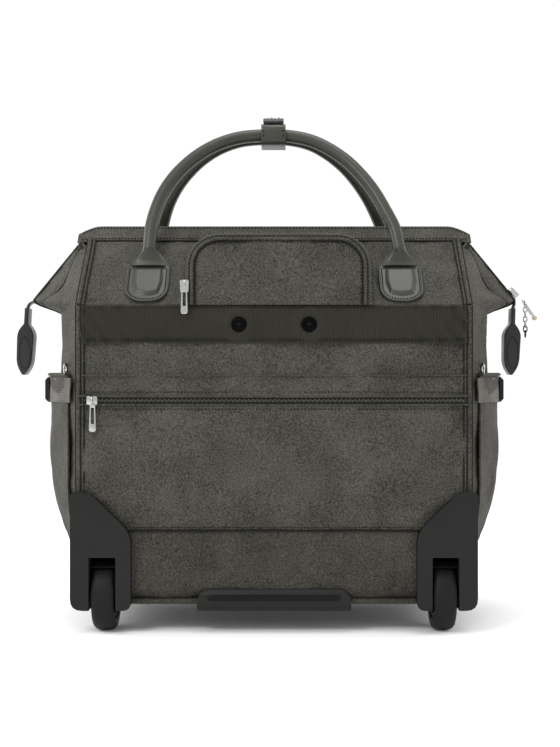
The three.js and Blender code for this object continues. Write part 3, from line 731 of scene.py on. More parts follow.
def make_front():
    left, right = -PANEL_X, PANEL_X

    def face(u, v):
        x = lerp(right, left, u)
        z = lerp(FLOOR_Z, SHOULDER_Z + 1 * MM, v)
        up = math.sin(math.pi * (v + 0.02)) if 0 < v < 0.98 else 0.0
        edge = (math.sin(math.pi * u) * up) ** 0.4
        under = 9 * MM * (1 - smooth(v / 0.07)) ** 2
        y = FRONT_Y + 0.2 * MM + (1.5 * MM + rumple(x, 3, z, 0.06, 1.3 * MM)) * edge - under
        return x, y, z

    cloth = relax_cloth(grid(face, 80, 56), 0.3, 0.006, cap=0.003)
    panel = thick_sheet("front_panel_cloth", cloth, 2.5 * MM, "case", "fabric", CLOTH, ("front_panel",))

    lo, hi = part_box("front_pocket")

    def pocket(u, v):
        x = lerp(hi.x, lo.x, u)
        z = lerp(lo.z, hi.z, v)
        edge = (math.sin(math.pi * u)) ** 0.3 * min(1, v / 0.08 + 0.1) ** 0.5
        y = lerp(FRONT_Y + 2 * MM, hi.y - 1.5 * MM, edge)
        return x, y + rumple(x, 4, z, 0.06, 1.2 * MM) * edge, z

    cloth = relax_cloth(grid(pocket, 64, 38), 0.4, 0.008, cap=0.0035)
    panel = thick_sheet("front_pocket_cloth", cloth, 2.0 * MM, "case", "fabric", CLOTH, ("front_pocket",))
    top = [p + Vector((0, 0.6 * MM, 0)) for p in cloth[-1]]
    sweep("front_pocket_binding", top, lambda i: oval(2.4 * MM, 3 * MM, 10), "case", "fabric", PIPING)
    border = [row[0] for row in reversed(cloth)] + cloth[0] + [row[-1] for row in cloth]
    foot = lo.z + 1 * MM
    inset = [Vector((p.x * 0.975, p.y + 1.8 * MM, p.z + (3 * MM if p.z < foot else 0))) for p in border]
    stitching.seam("case", inset, OUT_FRONT)


# painted shade: dark cords laid in these sunk lines stand for the shade in the grooves beside the piping
SEAM_SHADE_LINES = (-2.6 * MM, 2.5 * MM, 6.0 * MM)  # the sunk lines beside the piping, inwards from it


def make_piping():
    """The corded seams round the body and up the ends of the yokes, with dark cords beside them that paint
    the shade in the seam grooves.
    """
    bottom = FLOOR_Z + 3 * MM
    for side, side_name in ((-1, "left"), (1, "right")):
        for face, y, sign in (("back", BACK_Y, -1), ("front", FRONT_Y, 1)):
            path = []
            for i in range(45):
                z = lerp(bottom, SHOULDER_Z, i / 44)
                tuck = 9 * MM * (1 - smooth((z - bottom) / 0.03)) ** 2
                path.append(Vector((side * (EDGE_X + rumple(0, 0, z, 0.08, 0.7 * MM)), y - sign * tuck, z)))
            lift = []
            for k in range(11):
                p = yoke_point(side * (EDGE_X - 1.5 * MM * smooth(k / 10)), YOKE_HEIGHT * k / 10, 0.2 * MM)
                lift.append(flipped(p, 1, -sign))
            # kind, its path, its body, then how far the piping, binding and painted seam-shade cords stand
            # off: outwards and up
            runs = (
                ("piping", "piping_binding", "piping_seam_shade", path, "case", ((1.2, 0), (0.9, 0), (1.6, 0))),
                ("yoke_piping", "yoke_binding", "yoke_seam_shade", lift, "mouth_" + face,
                 ((0.9, 0.8), (0.6, 0.6), (1.2, 1.1))),
            )
            for piping, binding, seam, line, body, ((y0, z0), (y1, z1), (y2, z2)) in runs:
                name = f"{face}_{side_name}"
                stand = Vector((0, sign * y0 * MM, z0 * MM))
                beside = Vector((-side * 4.2 * MM, sign * y1 * MM, z1 * MM))
                piping_cord(f"{piping}_{name}", [p + stand for p in line], 2.2 * MM, body)
                piping_cord(f"{binding}_{name}", [p + beside for p in line], 1.3 * MM, body)
                # painted shade: dark cords in the sunk lines beside the piping
                for k, offset in enumerate(SEAM_SHADE_LINES):
                    sunk = Vector((-side * offset, sign * y2 * MM, z2 * MM))
                    seam_cord(f"{seam}_{name}_{k}", [p + sunk for p in line], 0.7 * MM, body, 6)


# ---------- mouth ----------
def yoke_point(x, height, off):
    """A point on the back yoke's leaning plane, standing off its outer face."""
    return Vector((
        x,
        BACK_Y + height * math.sin(LEAN) - off * math.cos(LEAN),
        SHOULDER_Z + height * math.cos(LEAN) + off * math.sin(LEAN),
    ))


YOKE_OUT = Vector((0, -math.cos(LEAN), math.sin(LEAN)))
FLAP_MID_X = (FLAP_LO.x + FLAP_HI.x) / 2
FLAP_HALF = (FLAP_HI.x - FLAP_LO.x) / 2


def turned(points):
    """The same grid on the other face of the case."""
    return [[flipped(p, -1, -1) for p in row] for row in points]


def make_yokes():
    notch = FLAP_HALF + 7 * MM

    def yoke(x0, x1):
        def surface(u, v):
            x = lerp(x0, x1, u)
            edge = math.sin(math.pi * u) ** 0.5 * math.sin(math.pi * v) ** 0.6
            off = (0.2 * MM + rumple(x, 5, v * 0.1, 0.045, 1.2 * MM)) * edge
            return yoke_point(x, lerp(0.5 * MM, YOKE_HEIGHT + 1 * MM, v), off)

        return surface

    spans = {"left": (-PANEL_X, FLAP_MID_X - notch), "right": (FLAP_MID_X + notch, PANEL_X)}
    for name, (x0, x1) in spans.items():
        cloth = relax_cloth(grid(yoke(x0, x1), 34, 24), 0.25, 0.008, cap=0.0008)
        node = ("yoke_back",) if name == "left" else ()
        panel = thick_sheet("yoke_back_" + name, cloth, 2.2 * MM, "mouth_back", "fabric", CLOTH, node)

    # A turned-in seam allowance at each end closes the corner when the mouth is open.
    for side, name in ((-1, "left"), (1, "right")):
        def allowance(u, v):
            depth = lerp(1 * MM, 15 * MM, u)
            return yoke_point(side * (EDGE_X - 3 * MM), lerp(1 * MM, YOKE_HEIGHT, v), -depth)

        points = grid(allowance, 4, 12)
        for face, edge in (("back", points), ("front", turned(points))):
            thick_sheet(f"yoke_allowance_{face}_{name}", edge, 1 * MM, "mouth_" + face, "fabric", CLOTH)

    def strip(u, v):
        return yoke_point(lerp(spans["left"][1] - 2 * MM, spans["right"][0] + 2 * MM, u),
                          lerp(YOKE_HEIGHT - 32 * MM, YOKE_HEIGHT + 1 * MM, v), 0)

    thick_sheet("yoke_back_top", grid(strip, 20, 2), 2 * MM, "mouth_back", "fabric", CLOTH)
    cloth = turned(relax_cloth(grid(yoke(-PANEL_X, PANEL_X), 90, 24), 0.25, 0.008, cap=0.0008))
    panel = thick_sheet("yoke_front_cloth", cloth, 2.2 * MM, "mouth_front", "fabric", CLOTH, ("yoke_front",))


BAND_END = EDGE_X + 12 * MM


def band_drop(x):
    """How far the band's ends turn down towards the gussets."""
    return 15 * MM * max(0.0, (abs(x) - EDGE_X + 10 * MM) / (24 * MM)) ** 1.6


def make_bands():
    """The folded band over each frame bar: flat on the yoke, round over the top, and down inside."""
    thick = 7.5 * MM

    def band(u, v):
        x = lerp(-BAND_END, BAND_END, u)
        swell = rumple(x, 6, 0, 0.05, 0.6 * MM)
        rim = 3.2 * MM
        drop = band_drop(x)
        top = BAND_TOP - drop
        foot = YOKE_HEIGHT - 1 * MM - drop * 0.2
        if v < 0.62:
            t = v / 0.62
            return yoke_point(x, lerp(foot, top - rim, t), 1.2 * MM + swell * math.sin(math.pi * t))
        if v < 0.85:
            turn = math.pi * (v - 0.62) / 0.23
            return yoke_point(x, top - rim + rim * math.sin(turn),
                              1.2 * MM - thick / 2 * (1 - math.cos(turn)))
        t = (v - 0.85) / 0.15
        return yoke_point(x, top - rim - 18 * MM * t, 1.2 * MM - thick)

    points = grid(band, 110, 40)
    across = [lerp(-BAND_END + 4 * MM, BAND_END - 4 * MM, i / 60) for i in range(61)]
    for face, flip, side in (("back", 1, points), ("front", -1, turned(points))):
        body = "mouth_" + face
        node = ("mouth_band_" + face,)
        cloth = thick_sheet(f"band_{face}_cloth", side, 1.0 * MM, body, "fabric", CLOTH, node)
        for height, share in ((YOKE_HEIGHT + 2.5 * MM, 0.2), (BAND_TOP - 5.5 * MM, 1)):
            line = [yoke_point(x, height - band_drop(x) * share, 1.5 * MM) for x in across]
            stitching.seam(body, [flipped(p, 1, flip) for p in line], flipped(YOKE_OUT, 1, flip))
        lip = [yoke_point(x, YOKE_HEIGHT - 0.4 * MM, 0.9 * MM) for x in (-EDGE_X, -60 * MM, 60 * MM, EDGE_X)]
        seam_cord(f"band_{face}_edge", [flipped(p, 1, flip) for p in lip], 0.9 * MM, body)
        softened("mouth_bar_" + face, body, "steel", STEEL, 0.5 * MM)
        tape = softened("mouth_zip_" + face, body, "zip_tape", TAPE, 0.4 * MM)
        inner = min(abs(v.co.y) for v in tape.data.vertices)
        top = max(v.co.z for v in tape.data.vertices)
        y = -flip * (inner + 1.2 * MM)
        line = straight((-EDGE_X + 8 * MM, y, top), (EDGE_X - 8 * MM, y, top), 40)
        zip_teeth(f"main_zip_chain_{face}", line, Vector((0, 0, 1)), body)


def make_wings():
    """The pinched end gussets. Each is two halves that meet along the zip."""
    tip = Vector((WING_END_X, 0, 0.338))
    top = Vector((BAND_END - 4 * MM, 0, yoke_point(0, BAND_TOP - 15 * MM, 0).z + 1 * MM))

    def seam_at(v):
        """Where the gusset's seam lies across it."""
        return 1 - 0.36 * math.sin(math.pi * v) ** 0.6

    def surface(u, v):
        """u runs from the yoke's end at 0 to the fold at 1; v from the shoulder to the top."""
        low = 0.16
        if v < low:
            t = v / low
            x = lerp(side_x(0, SHOULDER_Z), tip.x, smooth(t))
            fold = Vector((x, 0, lerp(SHOULDER_Z - 6 * MM, tip.z, t)))
        else:
            t = (v - low) / (1 - low)
            fold = tip.lerp(top, t)
        start = yoke_point(EDGE_X - 0.5 * MM, lerp(0, YOKE_HEIGHT, v), 0.5 * MM)
        start.x += 9 * MM * smooth((v - 0.8) / 0.2)
        share = lerp(1 - (1 - u) ** 2, u ** 1.5, smooth(v / 0.3))
        x = lerp(start.x, fold.x, share)
        y = lerp(start.y, 0, u)
        z = lerp(start.z, fold.z, share)
        crease = -math.exp(-((u - seam_at(v)) / 0.06) ** 2) * math.sin(math.pi * v) * 2.6 * MM
        puff = math.sin(math.pi * u) * math.sin(math.pi * v)
        return x + crease + 4.5 * MM * puff + rumple(x, y, z, 0.03, 1.5 * MM) * puff, y - 2 * MM * puff, z

    # The cloth starts on the case at the shoulder and lies along its half of the mouth higher up.
    columns, rows = 30, 36
    base = relax_cloth(grid(surface, columns, rows), 0.12, 0.006, cap=0.0025)
    under = [[p.lerp(Vector((EDGE_X - 8 * MM, p.y * 0.7, p.z)), k / 4) for p in base[-1]] for k in range(5)]
    seam = []
    for j, row in enumerate(base[1:-1], 1):
        place = seam_at(j / rows) * columns
        k = min(int(place), columns - 1)
        seam.append(row[k].lerp(row[k + 1], place - k))
    rim = [row[-1] - Vector((0, 1.2 * MM, 0)) for row in base]
    for side, flip_x in (("right", 1), ("left", -1)):
        for face, flip_y in (("back", 1), ("front", -1)):
            def placed(points):
                """The grid in its own corner, with its rows reversed where that turns it inside out."""
                order = -1 if flip_x * flip_y < 0 else 1
                return [[flipped(p, flip_x, flip_y) for p in row[::order]] for row in points]

            name = f"{side}_{face}"
            node = ("wing_" + side,) if face == "back" else ()
            wing = thick_sheet("wing_" + name, placed(base), 2.0 * MM, None, "fabric", CLOTH, node)
            cap = thick_sheet("wing_cap_" + name, placed(under), 1.0 * MM, None, "fabric", CLOTH)
            lift = Vector((flip_x * 0.5, -0.8 * flip_y, 0)).normalized() * 0.2 * MM
            line = [flipped(p, flip_x, flip_y) + lift for p in seam]
            cord = seam_cord("wing_seam_" + name, line, 0.8 * MM, None)
            edge = cord_of("wing_zip_edge_" + name, [flipped(p, flip_x, flip_y) for p in rim], 1.3 * MM, None,
                           "zip_tape", TAPE, 8)
            for part in (wing, cap, cord, edge):
                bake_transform(part)


# ---------- trolley pocket ----------
FLAP_CORNER = 27 * MM
FLAP_TOP = FLAP_HI.z


def arch_path(grow, y, bottom, steps=9):
    """The flap's outline as a path from its lower left corner round to its lower right one."""
    half = FLAP_HALF + grow
    top = FLAP_TOP + grow
    corner = FLAP_CORNER + grow
    path = [Vector((FLAP_MID_X - half, y, lerp(bottom, top - corner, i / 8))) for i in range(9)]
    for i in range(1, steps + 1):
        a = math.pi - math.pi / 2 * i / steps
        x = FLAP_MID_X - half + corner + corner * math.cos(a)
        path.append(Vector((x, y, top - corner + corner * math.sin(a))))
    for i in range(1, 12):
        path.append(Vector((lerp(FLAP_MID_X - half + corner, FLAP_MID_X + half - corner, i / 12), y, top)))
    right = [Vector((2 * FLAP_MID_X - p.x, p.y, p.z)) for p in reversed(path[: 9 + steps])]
    return path + right


def make_trolley_pocket():
    bottom = SHOULDER_Z + 0.5 * MM
    front = FLAP_LO.y

    def flap(u, v):
        z = lerp(bottom, FLAP_TOP, v)
        over = max(0.0, z - (FLAP_TOP - FLAP_CORNER))
        half = FLAP_HALF - FLAP_CORNER + math.sqrt(max(0.0, FLAP_CORNER**2 - over**2))
        x = FLAP_MID_X + lerp(-half, half, u)
        edge = (math.sin(math.pi * u) * math.sin(math.pi * (v * 0.98 + 0.01))) ** 0.4 if 0 < u < 1 else 0
        return x, front + 1.2 * MM - (1.6 * MM + rumple(x, 7, z, 0.05, 0.9 * MM)) * edge, z

    cloth = relax_cloth(grid(flap, 56, 26), 0.4, 0.006, cap=0.0025)
    node = ("trolley_flap",)
    panel = thick_sheet("trolley_flap_cloth", cloth, 2.4 * MM, "trolley_flap", "fabric", CLOTH, node)
    border = arch_path(0.6 * MM, front + 0.6 * MM, bottom)
    piping_cord("trolley_flap_piping", border, 1.9 * MM, "trolley_flap")
    # painted shade: dark cords inside and outside the piping stand for the shade in its seam grooves
    for name, grow in (("inner", -2.3), ("outer", 2.7)):
        line = arch_path(grow * MM, front + 0.3 * MM, bottom)
        seam_cord("trolley_flap_seam_shade_" + name, line, 0.7 * MM, "trolley_flap", 6)
    stitching.seam("trolley_flap", arch_path(-3.6 * MM, front + 0.1 * MM, bottom), OUT_BACK)

    # The zip runs round the flap, its tape folding back to the yoke as a gusset.
    outline = arch_path(2.2 * MM, front + 1.6 * MM, bottom)
    zip_line = arch_path(4.6 * MM, front + 2.2 * MM, bottom)
    zip_teeth("flap_zip_chain", zip_line, OUT_BACK, "case")
    side_count = 12
    rows = []
    for p in outline:
        climb = (p.z - SHOULDER_Z) / (FLAP_TOP - SHOULDER_Z)
        away = -1 if p.x < FLAP_MID_X else 1
        steep = min(1.0, abs(p.x - FLAP_MID_X) / (FLAP_HALF - FLAP_CORNER / 2)) ** 4
        splay = lerp(17 * MM, 4 * MM, smooth(climb))
        height = (p.z - SHOULDER_Z) / math.cos(LEAN)
        back = yoke_point(p.x + away * splay * steep, min(height, YOKE_HEIGHT - 4 * MM), 0.6 * MM)
        row = []
        for k in range(side_count + 1):
            t = k / side_count
            q = p.lerp(back, t)
            q.x += away * steep * 5 * MM * math.sin(math.pi * min(1.0, t * 4)) * (1 - t)
            row.append(q)
        rows.append(row)
    corner = 9 + 4  # the straight side's points, and half of the corner's
    parts = {
        "left": rows[: corner + 1],
        "top": rows[corner: len(rows) - corner],
        "right": rows[len(rows) - corner - 1:],
    }
    for name, part in parts.items():
        # columns run across the gusset and rows along it, turned so that the cloth faces outwards
        points = [list(reversed(row)) for row in part]
        node = ("trolley_pocket_gusset",) if name == "top" else ()
        body = "case" if name == "top" else None
        wall = thick_sheet("gusset_" + name, points, 1.2 * MM, body, "fabric", CLOTH, node)
        if name == "top":
            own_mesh(wall)
        else:
            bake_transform(wall)
            tape = [row[2] + OUT_BACK * 0.5 * MM for row in part]
            stitching.seam("case", tape, OUT_BACK)


# ---------- webbing ----------
def make_webbing():
    lo, hi = STRAP_LO, STRAP_HI
    pitch = 2.6 * MM
    screws = [sum((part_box("trolley_screw_" + n)[k].x for k in (0, 1))) / 2 for n in ("left", "right")]
    screw_z = sum(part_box("trolley_screw_left")[k].z for k in (0, 1)) / 2

    def strap(u, v):
        x = lerp(-EDGE_X + 3 * MM, EDGE_X - 3 * MM, u)
        z = lerp(lo.z, hi.z, v)
        slant = 0.35 * MM * math.sin(z * 90) + rumple(x, 8, z, 0.04, 1.5 * MM)
        rib = 0.3 * MM * math.cos(2 * math.pi * (x + slant) / pitch)
        rib *= smooth(v / 0.08) * smooth((1 - v) / 0.05)
        body = 1.1 * MM * math.sin(math.pi * v) ** 0.5 + rumple(x, 9, z, 0.035, 1.0 * MM)
        worn = smooth((abs(x) - 0.11) / 0.05)
        body += 0.9 * MM * worn * math.sin((x + z * 0.7) * 420 + 2 * math.sin(x * 60))
        for screw in screws:
            d = math.hypot(x - screw, z - screw_z)
            body += 2.2 * MM * math.exp(-((d - 12 * MM) / (5 * MM)) ** 2)
            body -= 1.0 * MM * math.exp(-((d / (6 * MM)) ** 2))
        return x, BACK_Y - 3.0 * MM - body - rib, z

    points = grid(strap, 960, 22)
    thick_sheet("webbing_cloth", points, 1.2 * MM, "case", "webbing", WEBBING, ("webbing_band",), 80)
    y = BACK_Y - 4.0 * MM
    left, right = -EDGE_X + 5 * MM, EDGE_X - 5 * MM
    for z in (lo.z + 2.2 * MM, lo.z + 4.2 * MM, hi.z - 2 * MM):
        stitching.seam("case", straight((left, y, z), (right, y, z), 40), OUT_BACK)
    for x in (left + 1 * MM, right - 1 * MM):
        stitching.seam("case", straight((x, y, lo.z + 3 * MM), (x, y, hi.z - 3 * MM)), OUT_BACK)
    for name, x in zip(("left", "right"), screws):
        screw = softened("trolley_screw_" + name, "case", "black_metal", SCREW, 0.7 * MM, 3)
        head = Vector((x, min(v.co.y for v in screw.data.vertices), screw_z))
        ring = circle(head + Vector((0, 1.2 * MM, 0)), Vector((6.4 * MM, 0, 0)), Vector((0, 0, 6.4 * MM)), 32)
        cord_of("cup_washer_" + name, ring, 1.3 * MM, "case", "black_metal", SCREW, 10, True)
        slot_at = head - Vector((0, 0.1 * MM, 0))
        for k, arm in enumerate((Vector((2.6 * MM, 0, 0)), Vector((0, 0, 2.6 * MM)))):
            ends = [slot_at - arm, slot_at + arm]
            sweep(f"screw_recess_{name}_{k}", ends, lambda i: oval(0.55 * MM, 0.3 * MM, 8), "case",
                  "black_metal", HUB)


# ---------- handles ----------
def handle_arch():
    """The handle's centreline, from its left foot to its right one, in the back handle's plane."""
    lean = math.radians(22)
    rise = 137 * MM
    profile = [
        (-129, 0), (-128, 0.17), (-124, 0.325), (-116, 0.495), (-103, 0.655), (-84, 0.805), (-62, 0.915),
        (-38, 0.98), (-13, 1), (13, 0.997), (37, 0.96), (57, 0.885), (76, 0.775), (92, 0.64), (105, 0.495),
        (116, 0.33), (125, 0.17), (129, 0),
    ]
    up = Vector((0, math.sin(lean), math.cos(lean))) * rise
    points = [Vector((x * MM, HANDLE_PIVOT.y, HANDLE_PIVOT.z)) + up * share for x, share in profile]
    return smooth_path(points, 6), Vector((0, -math.cos(lean), math.sin(lean)))


def smooth_path(points, steps):
    """A Catmull-Rom curve through the points."""
    path = []
    for i in range(len(points) - 1):
        a, b, c, d = points[max(i - 1, 0)], points[i], points[i + 1], points[min(i + 2, len(points) - 1)]
        for k in range(steps):
            t = k / steps
            path.append(0.5 * ((2 * b) + (c - a) * t + (2 * a - 5 * b + 4 * c - d) * t * t
                               + (3 * b - a - 3 * c + d) * t**3))
    path.append(points[-1])
    return path


def make_handles():
    arch, arch_out = handle_arch()
    # each neck's rings: height on the yoke, standing off it, half width and half depth
    rings = ((54, 4.6, 18.5, 1.8), (59, 5.8, 16.5, 2.8), (64, 8.2, 12.0, 4.8), (68, 11.0, 9.0, 6.0))

    def neck(x):
        return [
            (yoke_point(x, height * MM, off * MM), (wide * MM, deep * MM), YOKE_OUT)
            for height, off, wide, deep in rings
        ]

    grip = [(p, (6.9 * MM, 6.6 * MM), arch_out) for p in arch]
    path, shapes, outs = zip(*neck(-HANDLE_X), *grip, *reversed(neck(HANDLE_X)))
    for face, flip in (("back", 1), ("front", -1)):
        fine = [flipped(p, 1, flip) for p in smooth_path(path, 3)]

        def along(i, values):
            k = min(i // 3, len(values) - 1)
            nxt = min(k + 1, len(values) - 1)
            return values[k], values[nxt], (i % 3) / 3

        def section(i):
            a, b, t = along(i, shapes)
            wide, deep = lerp(a[0], b[0], t), lerp(a[1], b[1], t)
            outline = []
            sides = 20
            for k in range(sides):
                angle = 2 * math.pi * k / sides
                seam = 0.6 * MM if k in (13, 17) else 0.0  # the turned seam under the handle
                outline.append(((wide + seam) * math.cos(angle), (deep + seam) * math.sin(angle)))
            return outline

        def side(i):
            a, b, t = along(i, outs)
            out = a.lerp(b, t)
            out = flipped(out, 1, flip)
            ahead = fine[min(i + 1, len(fine) - 1)] - fine[max(i - 1, 0)]
            return ahead.cross(out).normalized()

        node = ("handle_" + face,)
        handle = sweep(f"handle_{face}_leather", fine, section, None, "leather", LEATHER, node, side)
        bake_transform(handle)


def tab_outline(grow=0.0):
    """A handle tab's outline on its yoke, as (across, up) pairs, from the upper left and round below."""
    half = 22 * MM + grow
    low = 3.5 * MM - grow
    corner = 19 * MM + grow
    shoulder = 57 * MM + grow * 0.5
    points = [(-9.5 * MM, 77 * MM), (-half * 0.86, shoulder + 4 * MM), (-half, shoulder - 3 * MM)]
    points += [(-half, lerp(shoulder - 3 * MM, low + corner, k / 4)) for k in range(1, 5)]
    for k in range(1, 9):
        a = math.pi + math.pi / 2 * k / 8
        points.append((-half + corner + corner * math.cos(a), low + corner + corner * math.sin(a)))
    return points + [(-a, h) for a, h in reversed(points)]


def make_tabs():
    for face, flip in (("back", 1), ("front", -1)):
        body = "mouth_" + face

        def put(x, a, h, off):
            return flipped(yoke_point(x + a, h, off), 1, flip)

        for name, x in (("right", HANDLE_X), ("left", -HANDLE_X)):
            node = f"handle_tab_{face}_{name}"
            rings = ((0.0, 0.2), (0.0, 2.0), (-0.6, 2.7), (-2.4, 2.9))
            verts, faces = [], []
            for grow, off in rings:
                verts += [put(x, a, h, off * MM) for a, h in tab_outline(grow * MM)]
            n = len(tab_outline())
            for ring in range(len(rings) - 1):
                for k in range(n):
                    a, b = ring * n + k, ring * n + (k + 1) % n
                    faces.append((a, b, b + n, a + n))
            faces.append(tuple(range(n)))
            faces.append(tuple((len(rings) - 1) * n + k for k in range(n)))
            tab = piece(f"tab_{face}_{name}", verts, faces, None, "leather", LEATHER, (node,), 70)
            recalc(tab)
            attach(tab, body)

            def pad(u, v):
                a, b = 2 * u - 1, 2 * v - 1
                r = max(abs(a), abs(b))
                if r:
                    length = math.hypot(a, b)
                    rounding = (0.55 if b < 0 else 0.16) * r
                    a, b = lerp(a, a * r / length, rounding), lerp(b, b * r / length, rounding)
                rise = (1 - smooth((r - 0.68) / 0.32) ** 1.3) * 3.0 * MM
                narrow = 1 - 0.12 * max(0.0, -b)
                return put(x, a * 16.5 * narrow * MM * flip, 32 * MM + b * 22.5 * MM, 2.6 * MM + rise)

            points = grid(pad, 26, 26)
            cushion = thick_sheet(f"tab_pad_{face}_{name}", points, 1.5 * MM, body, "leather", LEATHER)
            border = tab_outline(-3.2 * MM)[2:-2]
            line = [put(x, a, h, 3.0 * MM) for a, h in border]
            stitching.seam(body, line, flipped(YOKE_OUT, 1, flip), 0.0030, 0.0021, 0.0005)
            rim = [put(x, a, h, 2.6 * MM) for a, h in tab_outline(-0.8 * MM)[1:-1]]
            cord_of(f"tab_rim_{face}_{name}", rim, 1.0 * MM, body, "leather", LEATHER, 8)


def make_wrap():
    softened("handle_wrap", "handle_back", "leather", LEATHER, 0.8 * MM, 3)
    tongue = softened("wrap_tongue", "wrap_tongue", "leather", LEATHER_DARK, 0.7 * MM, 3)
    top = max(v.co.z for v in tongue.data.vertices if abs(v.co.y) < 9 * MM)
    count = 18
    for k, x in enumerate((-4.5, 3.5)):
        verts = []
        for r, z in ((3.0, -0.6), (2.8, 0.3), (1.6, 0.9), (0.3, 1.1)):
            centre = Vector((x * MM, -3 * MM, top + z * MM))
            verts += circle(centre, Vector((r * MM, 0, 0)), Vector((0, r * MM, 0)), count)
        faces = []
        for ring in range(3):
            for i in range(count):
                a, b = ring * count + i, ring * count + (i + 1) % count
                faces.append((a, b, b + count, a + count))
        faces += [tuple(reversed(range(count))), tuple(3 * count + i for i in range(count))]
        piece(f"wrap_snap_{k}", verts, faces, "wrap_tongue", "polished_metal", NICKEL)
    lo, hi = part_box("handle_wrap")
    for x in (lo.x + 2.5 * MM, hi.x - 2.5 * MM):
        line = straight((x, lo.y, lo.z + 7 * MM), (x, lo.y, hi.z - 6 * MM), 8)
        stitching.seam("handle_back", line, OUT_BACK)


# ---------- pockets and straps on the ends ----------
def make_side_pockets():
    lo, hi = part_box("side_pocket_right")
    bulge = 9 * MM

    def pocket(u, v):
        y = lerp(lo.y, hi.y, u)
        z = lerp(lo.z, hi.z, v)
        swell = math.sin(math.pi * u) * math.sin(math.pi / 2 * v) ** 0.6
        fold = rumple(0, y, z, 0.03, 2.2 * MM) * math.sin(math.pi * u) * (0.4 + 0.6 * v)
        return side_x(y, z) + 3 * MM + bulge * swell + fold, y, z

    cloth = relax_cloth(grid(pocket, 40, 40), 0.3, 0.010, cap=0.003)
    strap_z = (SIDE_STRAP_LO.z + SIDE_STRAP_HI.z) / 2
    half = 12.5 * MM

    def strap(u, v):
        y = lerp(SIDE_STRAP_LO.y + 1 * MM, SIDE_STRAP_HI.y - 1 * MM, u)
        z = lerp(strap_z - half, strap_z + half, v)
        inside = abs(y) < hi.y
        swell = bulge * math.cos(math.pi / 2 * y / hi.y) if inside else 0
        ripple = 0.25 * MM * math.sin(z * 2 * math.pi / (3 * MM))
        return side_x(y, z) + 4.8 * MM + swell + rumple(0, y, z, 0.02, 1.2 * MM) + ripple, y, z

    strap_points = grid(strap, 60, 20)
    for side, flip, points, ribbon in (
        ("right", 1, cloth, strap_points),
        ("left", -1, mirrored(cloth), mirrored(strap_points)),
    ):
        pocket_cloth = thick_sheet("side_pocket_cloth_" + side, points, 1.8 * MM, "case", "fabric", CLOTH,
                                   ("side_pocket_" + side,))
        sweep("side_pocket_hem_" + side, points[-1], lambda i: oval(1.8 * MM, 3.4 * MM, 10), "case",
              "fabric", PIPING)
        node = ("side_strap_" + side,)
        thick_sheet("side_strap_cloth_" + side, ribbon, 1.0 * MM, "case", "webbing", SATIN, node)
        buckle(side, flip, strap_z)
        for face, y in (("back", -0.074), ("front", 0.074)):
            centre = Vector((flip * (side_x(y, 0.26) + 4 * MM), y, hi.z + 6 * MM))
            loop = circle(centre, Vector((0, 7 * MM, 0)), Vector((0, 0, 5.5 * MM)), 24)
            cord_of(f"dee_ring_{side}_{face}", loop, 1.1 * MM, "case", "polished_metal", NICKEL, 8, True)


def buckle(side, flip, z):
    """A side-release buckle: two ribbed shells that meet in the middle."""
    x = SIDE_STRAP_HI.x - 4.5 * MM
    for part, y0, y1 in (("socket", -16, 1), ("plug", 1.6, 16)):
        verts, faces = [], []
        rows = 14
        for j in range(rows + 1):
            y = lerp(y0, y1, j / rows) * MM
            rib = 0.5 * MM if j % 2 else 0.0
            taper = 1 - 0.12 * (abs(y) / (16 * MM)) ** 2
            for a, b in ((-14, 0), (14, 0), (14, 2.4), (11, 4.2), (-11, 4.2), (-14, 2.4)):
                lift = b * MM + (rib if b > 3 else 0)
                verts.append(Vector((flip * (x + lift), y, z + a * MM * taper)))
        for j in range(rows):
            for k in range(6):
                faces.append((j * 6 + k, j * 6 + (k + 1) % 6, (j + 1) * 6 + (k + 1) % 6, (j + 1) * 6 + k))
        faces += [tuple(reversed(range(6))), tuple(rows * 6 + k for k in range(6))]
        obj = piece(f"buckle_{part}_{side}", verts, faces, None, "black_plastic", PLASTIC, (), 30)
        recalc(obj)
        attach(obj, "case")


